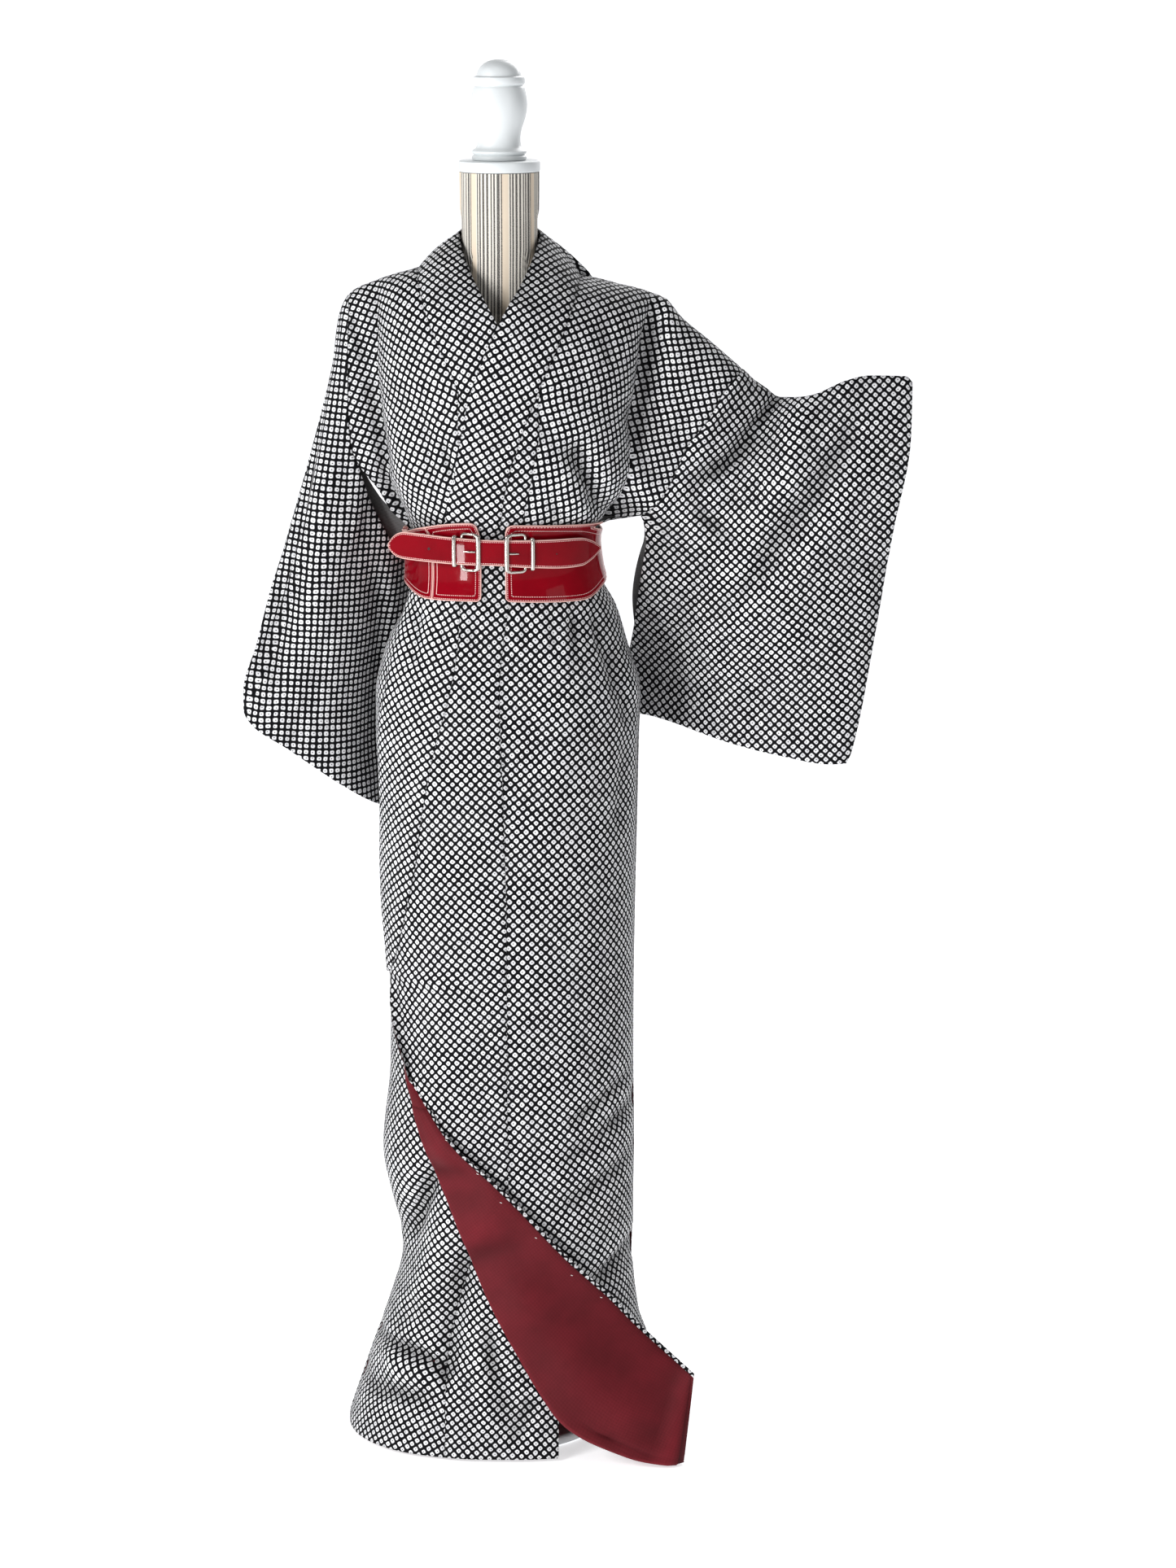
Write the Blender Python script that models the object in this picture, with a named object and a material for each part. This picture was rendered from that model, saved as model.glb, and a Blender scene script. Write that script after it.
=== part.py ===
"""A komon kimono worn closed on a limbless dress form, with one front corner turned back.

The tables are in millimetres and the meshes in metres. +Z is up, +X is the viewer's right and
the front faces -Y. The origin is the middle of the form's base, on the floor.
Left and right in the names are the wearer's, so the wearer's left is at +X.
"""

import bisect
import math

import bmesh
import bpy
from mathutils import Vector

for item in list(bpy.data.objects):
    bpy.data.objects.remove(item, do_unlink=True)

MM = 0.001

# Cloth, in millimetres
CLOTH = 1.6
BAND = 3.0
LINING = 1.0
LINING_GAP = 0.51
LEATHER = 2.5
SEAM_GAP = 0.3
LAYER = 5.0  # the wearer's left front lies this far outside the right one
COLLAR_RISE = 1.2  # the folded collar stands this far above the panels beside it
COLLAR_GAP = 0.45  # between the collar's seam and the panels, above the chest
COLLAR_SWELL = 3.0  # the band that stands up swells out this much between its edges
COLLAR_SHARES = (0, 1 / 3, 2 / 3, 1)

# Shoulder arch, in millimetres and degrees
CHEST = 1276.0  # above this height the cloth arches over the shoulder
ARCH = 200.0  # the quarter turn of the arch counts as this much further height
RIDGE_Y = 5.0
RIDGE = CHEST + ARCH
ROUND = 0.85  # power of the sine and cosine in a section: below 1 is squarer than an ellipse
MIDDLE = 4.0  # x of the body's middle plane
SPREAD = 1.15  # the wearer's left shoulder is drawn out this much over its chest width
WING_TURN = 30.0  # degrees of a section that the flat part beside the arm takes
WING_FULL = 40.0  # it takes all of them where it reaches this far past the body
SPREAD_FULL = 100.0  # the shoulder is drawn out in full this far from the middle
PARTING_SOFT = 4  # front and back part at the side over this share of their half gap


class Table:
    """Rows under named columns. The first column is the key; the others run smoothly between rows."""

    def __init__(self, columns, *rows):
        self.keys = [row[0] for row in rows]
        self.values = {}
        for place, name in enumerate(columns[1:], 1):
            values = [row[place] for row in rows]
            self.values[name] = (values, self.slopes(values))

    def slopes(self, values):
        keys = self.keys
        steps = [
            (values[i + 1] - values[i]) / (keys[i + 1] - keys[i]) for i in range(len(keys) - 1)
        ]
        inner = [
            2 * a * b / (a + b) if a * b > 0 else 0.0 for a, b in zip(steps, steps[1:])
        ]
        return [steps[0]] + inner + [steps[-1]]

    def at(self, key, name):
        values, slopes = self.values[name]
        keys = self.keys
        if key <= keys[0]:
            return values[0]
        if key >= keys[-1]:
            return values[-1]
        i = bisect.bisect_right(keys, key) - 1
        span = keys[i + 1] - keys[i]
        t = (key - keys[i]) / span
        return (
            (2 * t**3 - 3 * t**2 + 1) * values[i]
            + (t**3 - 2 * t**2 + t) * span * slopes[i]
            + (3 * t**2 - 2 * t**3) * values[i + 1]
            + (t**3 - t**2) * span * slopes[i + 1]
        )


# Outer face of the inner layer, as worn: where each height's section reaches
SECTIONS = Table(
    ("height", "left", "right", "front", "back"),
    (0, -200, 205, 158, 158),
    (50, -183, 194, 150, 152),
    (105, -164, 176, 141, 147),
    (150, -147, 163, 135, 143),
    (211, -133, 157, 132, 139),
    (290, -139, 157, 130, 136),
    (364, -151, 158, 128, 135),
    (473, -141, 157, 126, 134),
    (546, -140, 157, 125, 134),
    (682, -147, 158, 124, 136),
    (792, -147, 160, 124, 138),
    (887, -154, 162, 122, 140),
    (938, -154, 164, 120, 136),
    (998, -140, 148, 114, 122),
    (1044, -117, 134, 106, 108),
    (1071, -107, 119, 100, 99),
    (1100, -105, 112, 98, 94),
    (1128, -106, 109, 99, 95),
    (1150, -111, 115, 101.5, 97),
    (1188, -132, 142, 112, 105),
    (1227, -139, 151, 118, 109),
    (CHEST, -145, 154, 120, 112),
)

# Where the front and back of each body panel end at the side, and half the gap between them there
EDGES = Table(
    ("height", "left", "left_half", "right", "right_half"),
    (1060, -110, 0.2, 125, 0.2),
    (1100, -105, 2.0, 112, 2.0),
    (1128, -106, 4.0, 109, 3.0),
    (1148, -118, 6.0, 112, 3.0),
    (1158, -130, 7.0, 168, 8.0),
    (1188, -148, 9.0, 198, 20.0),
    (1212, -166, 16.0, 210, 24.0),
    (1240, -178, 22.0, 222, 26.0),
    (CHEST, -181, 24.0, 250, 26.0),
)
EDGE_TOP = 1060.0

RIDGE_HEIGHTS = Table(
    ("x", "height"),
    (-200, 1396),
    (-191, 1404),
    (-179, 1422),
    (-150, 1436),
    (-99, 1452),
    (-50, 1464),
    (0, 1470),
    (50, 1458),
    (97, 1439),
    (132, 1430),
    (195, 1412),
    (212, 1391),
    (249, 1360),
    (288, 1327),
    (300, 1318),
)

# Soft folds of the body cloth, in the front view: a line from top to foot, its half width and depth
FOLD_COLUMNS = ("face", "top_x", "top_z", "foot_x", "foot_z", "width", "depth")
FOLDS = (
    ("front", 182, 1400, 168, 1240, 16, -9),
    ("front", 90, 1262, 122, 1165, 16, -7),
    ("front", 148, 1225, 190, 1165, 14, 5),
    ("front", -120, 1330, -70, 1190, 22, -4),
    ("front", 112, 1062, 150, 905, 13, -4.5),
    ("front", 86, 1056, 96, 985, 11, -3.5),
    ("front", 165, 440, 70, 372, 14, -4),
    ("front", 170, 232, 95, 214, 14, -5),
    ("front", -78, 372, -136, 205, 20, -8),
    ("front", -36, 262, -72, 92, 20, -8),
    ("front", -182, 62, -92, 80, 13, -6),
    ("front", -14, 200, -4, 70, 16, 6),
    ("front", -110, 190, -150, 110, 18, 6),
    ("back", -60, 1262, -96, 1165, 18, -6),
    ("back", 58, 1280, 92, 1165, 18, -7),
    ("back", -92, 1060, -120, 880, 16, -5),
    ("back", 78, 1060, 104, 850, 16, -5),
    ("back", -60, 620, -96, 20, 26, -7),
    ("back", 70, 560, 112, 20, 26, -7),
    ("back", 10, 420, 24, 20, 24, 6),
)
BELT_HOLDS = (1064.0, 1150.0)  # no fold runs under the belt
FOLD_EASE = 26.0  # how far above and below the belt the folds come back
FOLD_END = 0.35  # share of a fold's length over which it fades at each end
FOLD_PAST = 0.1  # and how far past its ends it runs

ARMPIT = {1: 1150.0, -1: 1212.0}
SKIRT_LOW = (3, 7, 35, 68, 100, 135, 170, 210, 250, 295, 350, 410, 445, 473)
SKIRT_HIGH = (500, 530, 565, 600, 640, 690, 740, 800, 887, 960)
WAIST_HEIGHTS = (1020, 1058, 1090, 1125, 1146, 1158, 1190, 1220, 1250, CHEST)
FRONT_TURNS = (10, 20, 32, 44, 58, 75)
BACK_TURNS = (18, 36, 54, 63, 75)
PANEL_HEIGHTS = SKIRT_LOW + SKIRT_HIGH + WAIST_HEIGHTS
PANEL_COLUMNS = 8

# Seams and edges seen from the front, on the wearer's left; the right is their mirror unless given
COLLAR_SEAM = Table(
    ("z", "x"),
    (600, -138),
    (640, -126),
    (690, -115),
    (740, -104),
    (800, -96),
    (887, -79),
    (960, -59),
    (1020, -49),
    (1058, -47),
    (1090, -41),
    (1125, -20),
    (1158, 1),
    (1190, 6),
    (1220, 12),
    (1250, 22),
    (1280, 32),
    (1307, 43),
    (1334, 54),
    (1361, 67),
    (1388, 79),
    (1415, 89),
    (1443, 97),
)
# The collar's free edge, for each height of its seam
COLLAR_EDGE = Table(
    ("seam_z", "x", "z"),
    (600, -143, 596),
    (640, -146, 640),
    (690, -150, 690),
    (740, -151, 740),
    (800, -150, 800),
    (887, -150, 887),
    (960, -139, 960),
    (1020, -125, 1020),
    (1058, -114, 1055),
    (1090, -103, 1085),
    (1125, -84, 1120),
    (1158, -66, 1155),
    (1190, -60, 1190),
    (1220, -52, 1222),
    (1250, -44, 1262),
    (1280, -35, 1306),
    (1307, -24, 1338),
    (1334, -12, 1368),
    (1361, 2, 1396),
    (1388, 16, 1421),
)
COLLAR_FOOT = 600.0
COLLAR_CHEST_TOP = 1395.0
# Where the band stands up round the neck: its free edge for each height of the seam in front
COLLAR_STAND = Table(
    ("height", "x", "y", "z"),
    (1350, 13, -92, 1415),
    (1372, 22, -80, 1430),
    (1404, 35, -56, 1454),
    (1442, 46, -26, 1479),
    (1476, 50, 0, 1494),
)
# Behind the neck: the seam's x for each turn of the arch, and the band's free edge there
NECK = Table(
    ("turn", "seam_x", "x", "y", "z"),
    (54, 0, 0, 54, 1505),
    (63, 50, 25, 47, 1503),
    (75, 80, 43, 28, 1499),
    (90, 97, 50, 0, 1494),
)
NECK_TURNS = (75, 63, 54)
OKUMI_SEAMS = {
    1: Table(
        ("z", "x"),
        (0, 206),
        (3, 200),
        (40, 172),
        (108, 120),
        (190, 66),
        (262, 30),
        (344, 8),
        (473, 7),
        (664, 7),
        (815, 4),
        (954, 0),
        (1014, 4),
        (1072, 14),
        (1128, 22),
        (1177, 31),
        (1232, 42),
        (1270, 48),
        (1300, 47),
        (1318, 49),
    ),
    -1: Table(
        ("z", "x"),
        (0, -72),
        (100, -71),
        (180, -58),
        (247, -40),
        (344, -24),
        (473, -14),
        (664, -8),
        (954, -4),
        (1072, -14),
        (1128, -22),
        (1177, -31),
        (1232, -42),
        (1270, -48),
        (1300, -47),
        (1318, -49),
    ),
}
INNER_EDGE = Table(("z", "x"), (0, 69), (60, 69), (120, 74), (250, 94), (400, 118), (600, 138))
OUTER_EDGE = Table(("z", "x"), (473, -118), (500, -126), (530, -134), (565, -140), (600, -143))

# The outer layer's fold, by height: where it folds and how far it stands off the layer below
FOLD = Table(
    ("z", "x", "stand"),
    (4, 206, 58),
    (14, 162, 44),
    (36, 108, 30),
    (63, 69, 20),
    (106, 39, 13),
    (170, 6, 8),
    (216, -17, 6),
    (284, -45, 4),
    (350, -70, 2),
    (399, -92, 1),
    (473, -118, 0),
)
# The turned-back corner, by the height of the row's start at the panel seam: where the row folds,
# and the point of the overlap's front edge after the turn
CORNER = Table(
    ("height", "fold_x", "fold_z", "edge_x", "edge_y", "edge_z"),
    (3, 206, 4, 234, -134, 97),
    (35, 165, 13, 213, -128, 124),
    (68, 100, 40, 190, -123, 147),
    (100, 73, 60, 172, -122, 164),
    (135, 47, 96, 150, -122, 187),
    (170, 24, 136, 134, -124, 205),
    (210, 4, 173, 115, -128, 224),
    (250, -17, 216, 86, -136, 254),
    (295, -39, 270, 44, -146, 303),
    (350, -64, 335, -2, -147, 352),
    (410, -93, 402, -58, -136, 403),
    (473, -118, 473, -112, -92, 473),
)
CURL = {473: 180, 500: 135, 530: 90, 565: 45}  # the turn has begun above the corner, in degrees
TURN_RADIUS = 2.6
TURN_STEPS = 4
FLAP_STEPS = 6
PANEL_STEPS = 4
EDGE_LENGTH = 6.0  # how much of the front edge lies past the curl
FLAP_BULGE = 9.0
FLAP_FULL = 60.0  # a turned-back row this long or longer bulges in full
FLAP_LAG = 1.5  # power that keeps the flap near the fold at first
FLAP_SPRING = 0.8  # how strongly it leaves the fold in the turn's own direction
PLAIN_SHARE = 0.92  # share of a row without a turn that its first steps take

BLACK_CLOTH = (0.30, 0.30, 0.31)
RED_LINING = (0.23, 0.03, 0.04)
RED_LEATHER = (0.50, 0.01, 0.03)
STEEL = (0.62, 0.60, 0.58)
WHITE_PAINT = (0.85, 0.86, 0.86)
TICKING = (0.74, 0.68, 0.60)

OKUMI_TOP = CHEST + ARCH * 10 / 90 + 0.5
LINING_FOOT, LINING_TOP = 7, 445
HEM_SEAM = {"top": 40, "foot_angle": 63.0, "mm_per_degree": 3}
PIPING = 3.0
CENTRE_SEAM = 0.06
FRONT_HEIGHTS = PANEL_HEIGHTS + tuple(CHEST + ARCH * t / 90 for t in FRONT_TURNS) + (RIDGE,)
BACK_HEIGHTS = PANEL_HEIGHTS + tuple(CHEST + ARCH * t / 90 for t in BACK_TURNS)
CORNER_TOP = 473
FOLD_ANGLES = {}  # angles worked out so far, by height

# Sleeves: the middle of the flat bag, by its four sides. t runs from the fold at the shoulder
# down to the lower edge, s from the body out to the hand.
SLEEVES = {
    1: {
        "top": Table(
            ("s", "x", "y", "z"),
            (0.0, 290, 5, 1327),
            (0.14, 318, 16, 1307),
            (0.26, 337, 24, 1294),
            (0.36, 361, 6, 1297),
            (0.46, 379, -4, 1302),
            (0.62, 415, -6, 1318),
            (0.72, 440, -2, 1323),
            (0.95, 486, 0, 1322),
            (1.0, 494, 0, 1315),
        ),
        "cuff": Table(
            ("t", "x", "y", "z"),
            (0.0, 494, 0, 1315),
            (0.14, 492, -4, 1247),
            (0.37, 473, -6, 1138),
            (0.65, 454, 0, 1008),
            (0.96, 428, 4, 862),
            (1.0, 422, 4, 848),
        ),
        "bottom": Table(
            ("s", "x", "y", "z"),
            (0.0, 138, 122, 885),
            (0.14, 172, 92, 893),
            (0.48, 282, 26, 869),
            (0.66, 332, 8, 859),
            (0.92, 402, 0, 848),
            (1.0, 422, 4, 848),
        ),
        "seam": Table(
            ("t", "x", "y", "z"),
            (0.0, 290, 5, 1327),
            (0.08, 255, 3, 1292),
            (0.2, 230, 2, 1252),
            (0.34, 203, 4, 1192),
            (0.44, 186, 7, 1152),
            (0.5, 178, 12, 1127),
            (0.62, 169, 36, 1063),
            (0.76, 162, 76, 998),
            (0.88, 152, 110, 942),
            (1.0, 138, 122, 885),
        ),
        "half": 14.0,
        "cuff_open": 0.47,
        "cuff_half": 12.0,
    },
    -1: {
        "top": Table(
            ("s", "x", "y", "z"),
            (0.0, -182, 5, 1419),
            (0.05, -190, 4, 1403),
            (0.18, -198, 0, 1352),
            (0.31, -208, 0, 1306),
            (0.53, -228, 0, 1225),
            (0.78, -254, 0, 1140),
            (1.0, -279, 0, 1069),
        ),
        "cuff": Table(
            ("t", "x", "y", "z"),
            (0.0, -279, 0, 1069),
            (0.16, -298, 5, 998),
            (0.3, -315, 5, 938),
            (0.34, -315, 2, 918),
            (0.39, -304, 0, 897),
            (0.48, -271, 2, 872),
            (0.63, -217, 12, 831),
            (0.78, -168, 48, 792),
            (1.0, -140, 100, 770),
        ),
        "bottom": Table(
            ("s", "x", "y", "z"), (0.0, -120, 150, 890), (0.5, -150, 150, 822), (1.0, -140, 100, 770)
        ),
        "seam": Table(
            ("t", "x", "y", "z"),
            (0.0, -182, 5, 1419),
            (0.14, -182, 2, 1350),
            (0.3, -182, 2, 1276),
            (0.4, -176, 4, 1220),
            (0.49, -162, 8, 1180),
            (0.6, -140, 26, 1127),
            (0.74, -116, 84, 1060),
            (0.86, -114, 124, 1000),
            (1.0, -120, 150, 890),
        ),
        "half": 20.0,
        "cuff_open": 0.5,
        "cuff_half": 13.6,
    },
}
SLEEVE_STATIONS = (0, 0.04, 0.11, 0.2, 0.3, 0.41, 0.52, 0.64, 0.76, 0.88, 1.0)
FURI_STEPS = (0.52, 0.6, 0.69, 0.79, 0.9, 1.0)
ARMHOLE_GAP = 0.6
SEWN_HALF = 0.5  # half the space left inside where the bag's two layers are sewn together
FURI_HALF = 5.0  # and where its inner edge hangs open below the armhole
ARM_SHARE = 0.47  # share of the inner edge that is sewn to the armhole
SLOPE_STEP = 0.01  # step over which the bag's slope is taken
CUFF_SQUARE = 3  # power with which the two layers part straight forwards near the cuff
SLEEVE_FADE = 0.4  # share of a sleeve fold's length over which it fades at each end
SLEEVE_PAST = 0.15
FRONTWARDS = Vector((0, -1, 0))
# Folds across the sleeves in the front view, moving both layers: line, half width, depth
SLEEVE_FOLDS = {
    1: (
        (337, 1296, 237, 1195, 16, 9),
        (415, 1272, 300, 1085, 20, 7),
        (450, 1085, 446, 900, 20, -4),
        (372, 1290, 330, 1180, 16, -7),
    ),
    -1: (
        (-212, 1240, -240, 1000, 14, -6),
        (-160, 1127, -170, 800, 14, 8),
        (-262, 1090, -282, 930, 14, 6),
    ),
}

# The belt: height of its edges by angle round the waist
BELT_EDGE = Table(
    ("angle", "foot", "top"),
    (-90, 1079, 1141),
    (-72, 1076, 1143),
    (-45, 1066, 1153),
    (-12, 1067, 1163),
    (0, 1067, 1161),
    (12, 1066, 1160),
    (45, 1064, 1156),
    (72, 1076, 1146),
    (90, 1080, 1141),
)
BELT_INNER = LAYER + 4.3
BELT_OUTER = BELT_INNER + LEATHER
BELT_ROWS = 5
BELT_LEVEL = 1126.0
BELT_LEAN = 0.3  # how much of the cloth's slope the stiff leather takes on
BELT_BACK = (1080, 1140)
BELT_SIDE = 84.0  # the front lengths end here and the back one starts, in degrees
BELT_FRONT = (-22, 7)  # x of the front lengths' inner ends
BELT_STEPS = 9
BELT_BACK_TURNS = (90, 86, 82, 76, 68, 56, 42, 28, 14)
BELT_CORNER_TURN = 87  # the back length leaves the front's surface here
BELT_GAP_TURN = 0.3

# The strap lies on the buckles' bows, and its end stands free at the wearer's right
STRAP = Table(
    ("x", "foot", "top"),
    (-132, 1122, 1134),
    (-129, 1117, 1142),
    (-118, 1114.5, 1147),
    (-85, 1113.5, 1146),
    (-50, 1113, 1144.5),
    (-12, 1112.5, 1143),
    (40, 1109.5, 1142.5),
    (83, 1107, 1142),
    (97, 1107.5, 1141),
    (108, 1113, 1136),
    (118, 1122.5, 1126.5),
)
STRAP_PLACES = (-132, -129, -118, -100, -85, -70, -55, -38, -20, 0, 20, 38, 55, 70, 83, 97, 108, 118)
STRAP_LEAVES = -72.0  # from here to its end the strap runs straight on, off the belt
STRAP_LEVEL = 1127.0
WIRE = 1.8
BOW_CLEAR = 3.6  # the bow keeps this clear of the belt where it widens upwards
BOW_LIFT = BELT_OUTER + WIRE + BOW_CLEAR
STRAP_INNER = BOW_LIFT + WIRE + 2 * SEAM_GAP
STRAP_OUTER = STRAP_INNER + LEATHER
PIN = 1.2
LOOP_WIRE = 1.5

# Buckles: the bar lies over the strap, the bow goes round under it. x of bar, bow, pin and loop
BUCKLES = {
    "buckle_right": {"bar": -25, "bow": -46.5, "foot": 1106.5, "top": 1149.5},
    "buckle_left": {"bar": 9.5, "bow": 32.5, "foot": 1104.5, "top": 1149.0},
}
PINS = {"prong_right": (-28.6, -42, 1129), "prong_left": (13.1, 24, 1127)}
LOOPS = {"loop_right": -53.5, "loop_left": 40.5}
BUCKLE_CORNER = 4.0
BUCKLE_CUT = 0.3  # share of the corner that its middle point keeps
LOOP_CLEAR = 0.7  # between the strap's edges and the loop's wire
LOOP_CORNER = 1.6

# The dress form, in millimetres
FORM_CLEAR = 12.0  # the torso stays this far inside the cloth's outer face
FORM_FOOT = 840.0
FORM_HEIGHTS = (840, 887, 938, 985, 1030, 1065, 1100, 1135, 1175, 1225, 1276)
FORM_SEGMENTS = 28
# Shoulder of the form: how far in from the chest to the neck, and how near under the cloth
FORM_SHOULDER = (
    # inward, rise
    (0.03, 0.42),
    (0.09, 0.70),
    (0.18, 0.88),
    (0.32, 0.97),
    (0.52, 1.0),
    (0.76, 1.0),
)
SHOULDER_DROP = 3.0
THROAT_DROP = 45.0  # the front of the neck slopes down this much more
FORM_NECK = ((45, 1474), (45, 1508), (47, 1522), (47.5, 1565))
POLE_RADIUS = 12.0
BASE_RADIUS = 125.0
BASE_THICK = 12.0
FORM_GAP = 0.3
SHOULDER_EDGE = 24.0  # least depth of the shoulder before and behind its ridge
CAP = ((47, 1565.3), (48.5, 1566.5), (48.5, 1577), (46.5, 1578.7))
FINIAL = (
    (31, 1579),
    (32.5, 1580.5),
    (32.5, 1584),
    (30, 1585.5),
    (32, 1587),
    (32, 1590.5),
    (27, 1593),
    (25, 1605),
    (27, 1616),
    (31.5, 1629),
    (33.5, 1643),
    (32, 1655),
    (30, 1664.5),
    (28.5, 1666),
    (30.5, 1667.5),
    (30, 1675.5),
    (26, 1677),
    (24, 1684),
    (18, 1691),
    (10, 1695),
    (3, 1696),
)


def smooth(t):
    t = min(1.0, max(0.0, t))
    return t * t * (3 - 2 * t)


def mix(a, b, t):
    return a + (b - a) * t


def soft_max(a, b, softness):
    return (a + b + math.sqrt((a - b) ** 2 + 4 * softness**2)) / 2


def section_point(angle, height, back, parted=True):
    """The cloth at an angle from the middle, -90 to 90, and a height up to the chest.

    Front and back stay parted at the side unless parted is False.
    """
    side = "right" if angle > 0 else "left"
    reach = SECTIONS.at(height, side) - MIDDLE
    depth = SECTIONS.at(height, "back" if back else "front")
    edge = EDGES.at(height, side) - MIDDLE if height > EDGE_TOP else reach
    half = EDGES.at(height, side + "_half")
    wing = smooth((abs(edge) - abs(reach)) / WING_FULL)
    body_turn = 90 - WING_TURN * wing
    turned = min(abs(angle) / body_turn, 1) * math.pi / 2
    x = reach * math.sin(turned) ** ROUND
    y = depth * max(math.cos(turned), 0) ** ROUND
    if abs(angle) > body_turn:
        x = mix(reach, edge, (abs(angle) - body_turn) / (90 - body_turn))
    if parted:
        y = soft_max(y, half, half / PARTING_SOFT)
    return Vector((MIDDLE + x, y if back else -y, height))


def base_point(angle, height, back, parted=True):
    """The cloth before folds; above the chest the height counts degrees of the arch."""
    if height <= CHEST:
        return section_point(angle, height, back, parted)
    chest = section_point(angle, CHEST, back, parted)
    turn = math.radians(90 * (height - CHEST) / ARCH)
    rise = math.sin(turn) ** ROUND
    run = max(math.cos(turn), 0) ** ROUND
    x = chest.x * (1 + (SPREAD - 1) * rise * smooth(chest.x / SPREAD_FULL))
    top = RIDGE_HEIGHTS.at(x, "height")
    return Vector((x, mix(RIDGE_Y, chest.y, run), mix(CHEST, top, rise)))


def outward(angle, height, back):
    step_angle, step_height = 0.4, 0.8
    low_angle, high_angle = max(angle - step_angle, -90), min(angle + step_angle, 90)
    low, high = height - step_height, min(height + step_height, RIDGE)
    parted = height > CHEST
    across = base_point(high_angle, height, back, parted) - base_point(low_angle, height, back, parted)
    along = base_point(angle, high, back) - base_point(angle, low, back)
    normal = across.cross(along).normalized()
    return -normal if back else normal


def fold_depth(x, z, back):
    """How far the folds push the cloth out at a place of the front view."""
    low, high = BELT_HOLDS
    clear = smooth((low - z) / FOLD_EASE) + smooth((z - high) / FOLD_EASE)
    total = 0.0
    for row in FOLDS:
        fold = dict(zip(FOLD_COLUMNS, row))
        if (fold["face"] == "back") != back:
            continue
        run_x, run_z = fold["foot_x"] - fold["top_x"], fold["foot_z"] - fold["top_z"]
        length = math.hypot(run_x, run_z)
        along = ((x - fold["top_x"]) * run_x + (z - fold["top_z"]) * run_z) / length**2
        aside = ((x - fold["top_x"]) * run_z - (z - fold["top_z"]) * run_x) / length
        ends = smooth((along + FOLD_PAST) / FOLD_END)
        ends *= smooth((1 + FOLD_PAST - along) / FOLD_END)
        total += fold["depth"] * ends * math.exp(-((aside / fold["width"]) ** 2))
    return total * clear


def skin(angle, height, back, offset):
    """A point of the garment, this far outside the inner layer's outer face."""
    base = base_point(angle, height, back)
    return base + outward(angle, height, back) * (offset + fold_depth(base.x, base.z, back))


def locate(x, z, offset=0.0):
    """The angle and height at which the front of the garment shows at x and z."""
    height = z
    if z > CHEST:
        rise = min(1.0, (z - CHEST) / (RIDGE_HEIGHTS.at(x, "height") - CHEST))
        height = CHEST + ARCH * math.asin(rise ** (1 / ROUND)) / (math.pi / 2)
    low, high = -90.0, 90.0
    for _ in range(22):
        angle = (low + high) / 2
        reached = base_point(angle, height, False)
        if reached.x + offset * math.sin(math.radians(angle)) < x:
            low = angle
        else:
            high = angle
    return angle, height


def finish(name, vertices, faces, colour, roughness, metallic=0.0):
    """Make the object from points in millimetres, with its own plain material."""
    mesh = bpy.data.meshes.new(name)
    mesh.from_pydata([tuple(point * MM) for point in vertices], [], faces)
    body = bmesh.new()
    body.from_mesh(mesh)
    bmesh.ops.recalc_face_normals(body, faces=body.faces)
    body.to_mesh(mesh)
    body.free()
    mesh.shade_smooth()
    material = bpy.data.materials.new(name)
    material.use_nodes = True
    shader = material.node_tree.nodes["Principled BSDF"]
    shader.inputs["Base Color"].default_value = (*colour, 1)
    shader.inputs["Roughness"].default_value = roughness
    shader.inputs["Metallic"].default_value = metallic
    mesh.materials.append(material)
    thing = bpy.data.objects.new(name, mesh)
    bpy.context.scene.collection.objects.link(thing)
    return thing


def wall(name, outer, inner, colour, roughness, metallic=0.0, ring=False):
    """A closed wall between two grids of points; ring joins each row's last point to its first."""
    rows, columns = len(outer), len(outer[0])
    count = rows * columns
    vertices = [point for row in outer for point in row] + [point for row in inner for point in row]

    def outside(i, j):
        return i * columns + j % columns

    def inside(i, j):
        return count + i * columns + j % columns

    faces = []
    spans = columns if ring else columns - 1
    for i in range(rows - 1):
        for j in range(spans):
            for place in (outside, inside):
                near, far = place(i, j), place(i + 1, j + 1)
                faces.append((near, place(i, j + 1), far))
                faces.append((near, far, place(i + 1, j)))
    for i in (0, rows - 1):
        for j in range(spans):
            faces.append((outside(i, j), outside(i, j + 1), inside(i, j + 1), inside(i, j)))
    if not ring:
        for i in range(rows - 1):
            for j in (0, columns - 1):
                faces.append((outside(i, j), outside(i + 1, j), inside(i + 1, j), inside(i, j)))
    return finish(name, vertices, faces, colour, roughness, metallic)


def turned(name, profile, colour, roughness, metallic=0.0, segments=28):
    """A solid turned round the Z axis from a profile of radius and height, foot to top."""
    vertices = [Vector((0, 0, profile[0][1])), Vector((0, 0, profile[-1][1]))]
    rings = []
    for radius, height in profile:
        ring = []
        for step in range(segments):
            turn = 2 * math.pi * step / segments
            ring.append(len(vertices))
            vertices.append(Vector((radius * math.cos(turn), radius * math.sin(turn), height)))
        rings.append(ring)
    faces = []
    for low, high in zip(rings, rings[1:]):
        for step in range(segments):
            after = (step + 1) % segments
            faces.append((low[step], low[after], high[after], high[step]))
    for step in range(segments):
        after = (step + 1) % segments
        faces.append((0, rings[0][after], rings[0][step]))
        faces.append((1, rings[-1][step], rings[-1][after]))
    return finish(name, vertices, faces, colour, roughness, metallic)


def row_angles(start, end, count):
    return [mix(start, end, step / count) for step in range(count + 1)]


def turn_of(height):
    return 90 * (height - CHEST) / ARCH


def front_z(height, x):
    """The height in the front view of a row of the arch, near this x."""
    if height <= CHEST:
        return height
    rise = math.sin(math.radians(turn_of(height))) ** ROUND
    return mix(CHEST, RIDGE_HEIGHTS.at(x, "height"), rise)


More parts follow.
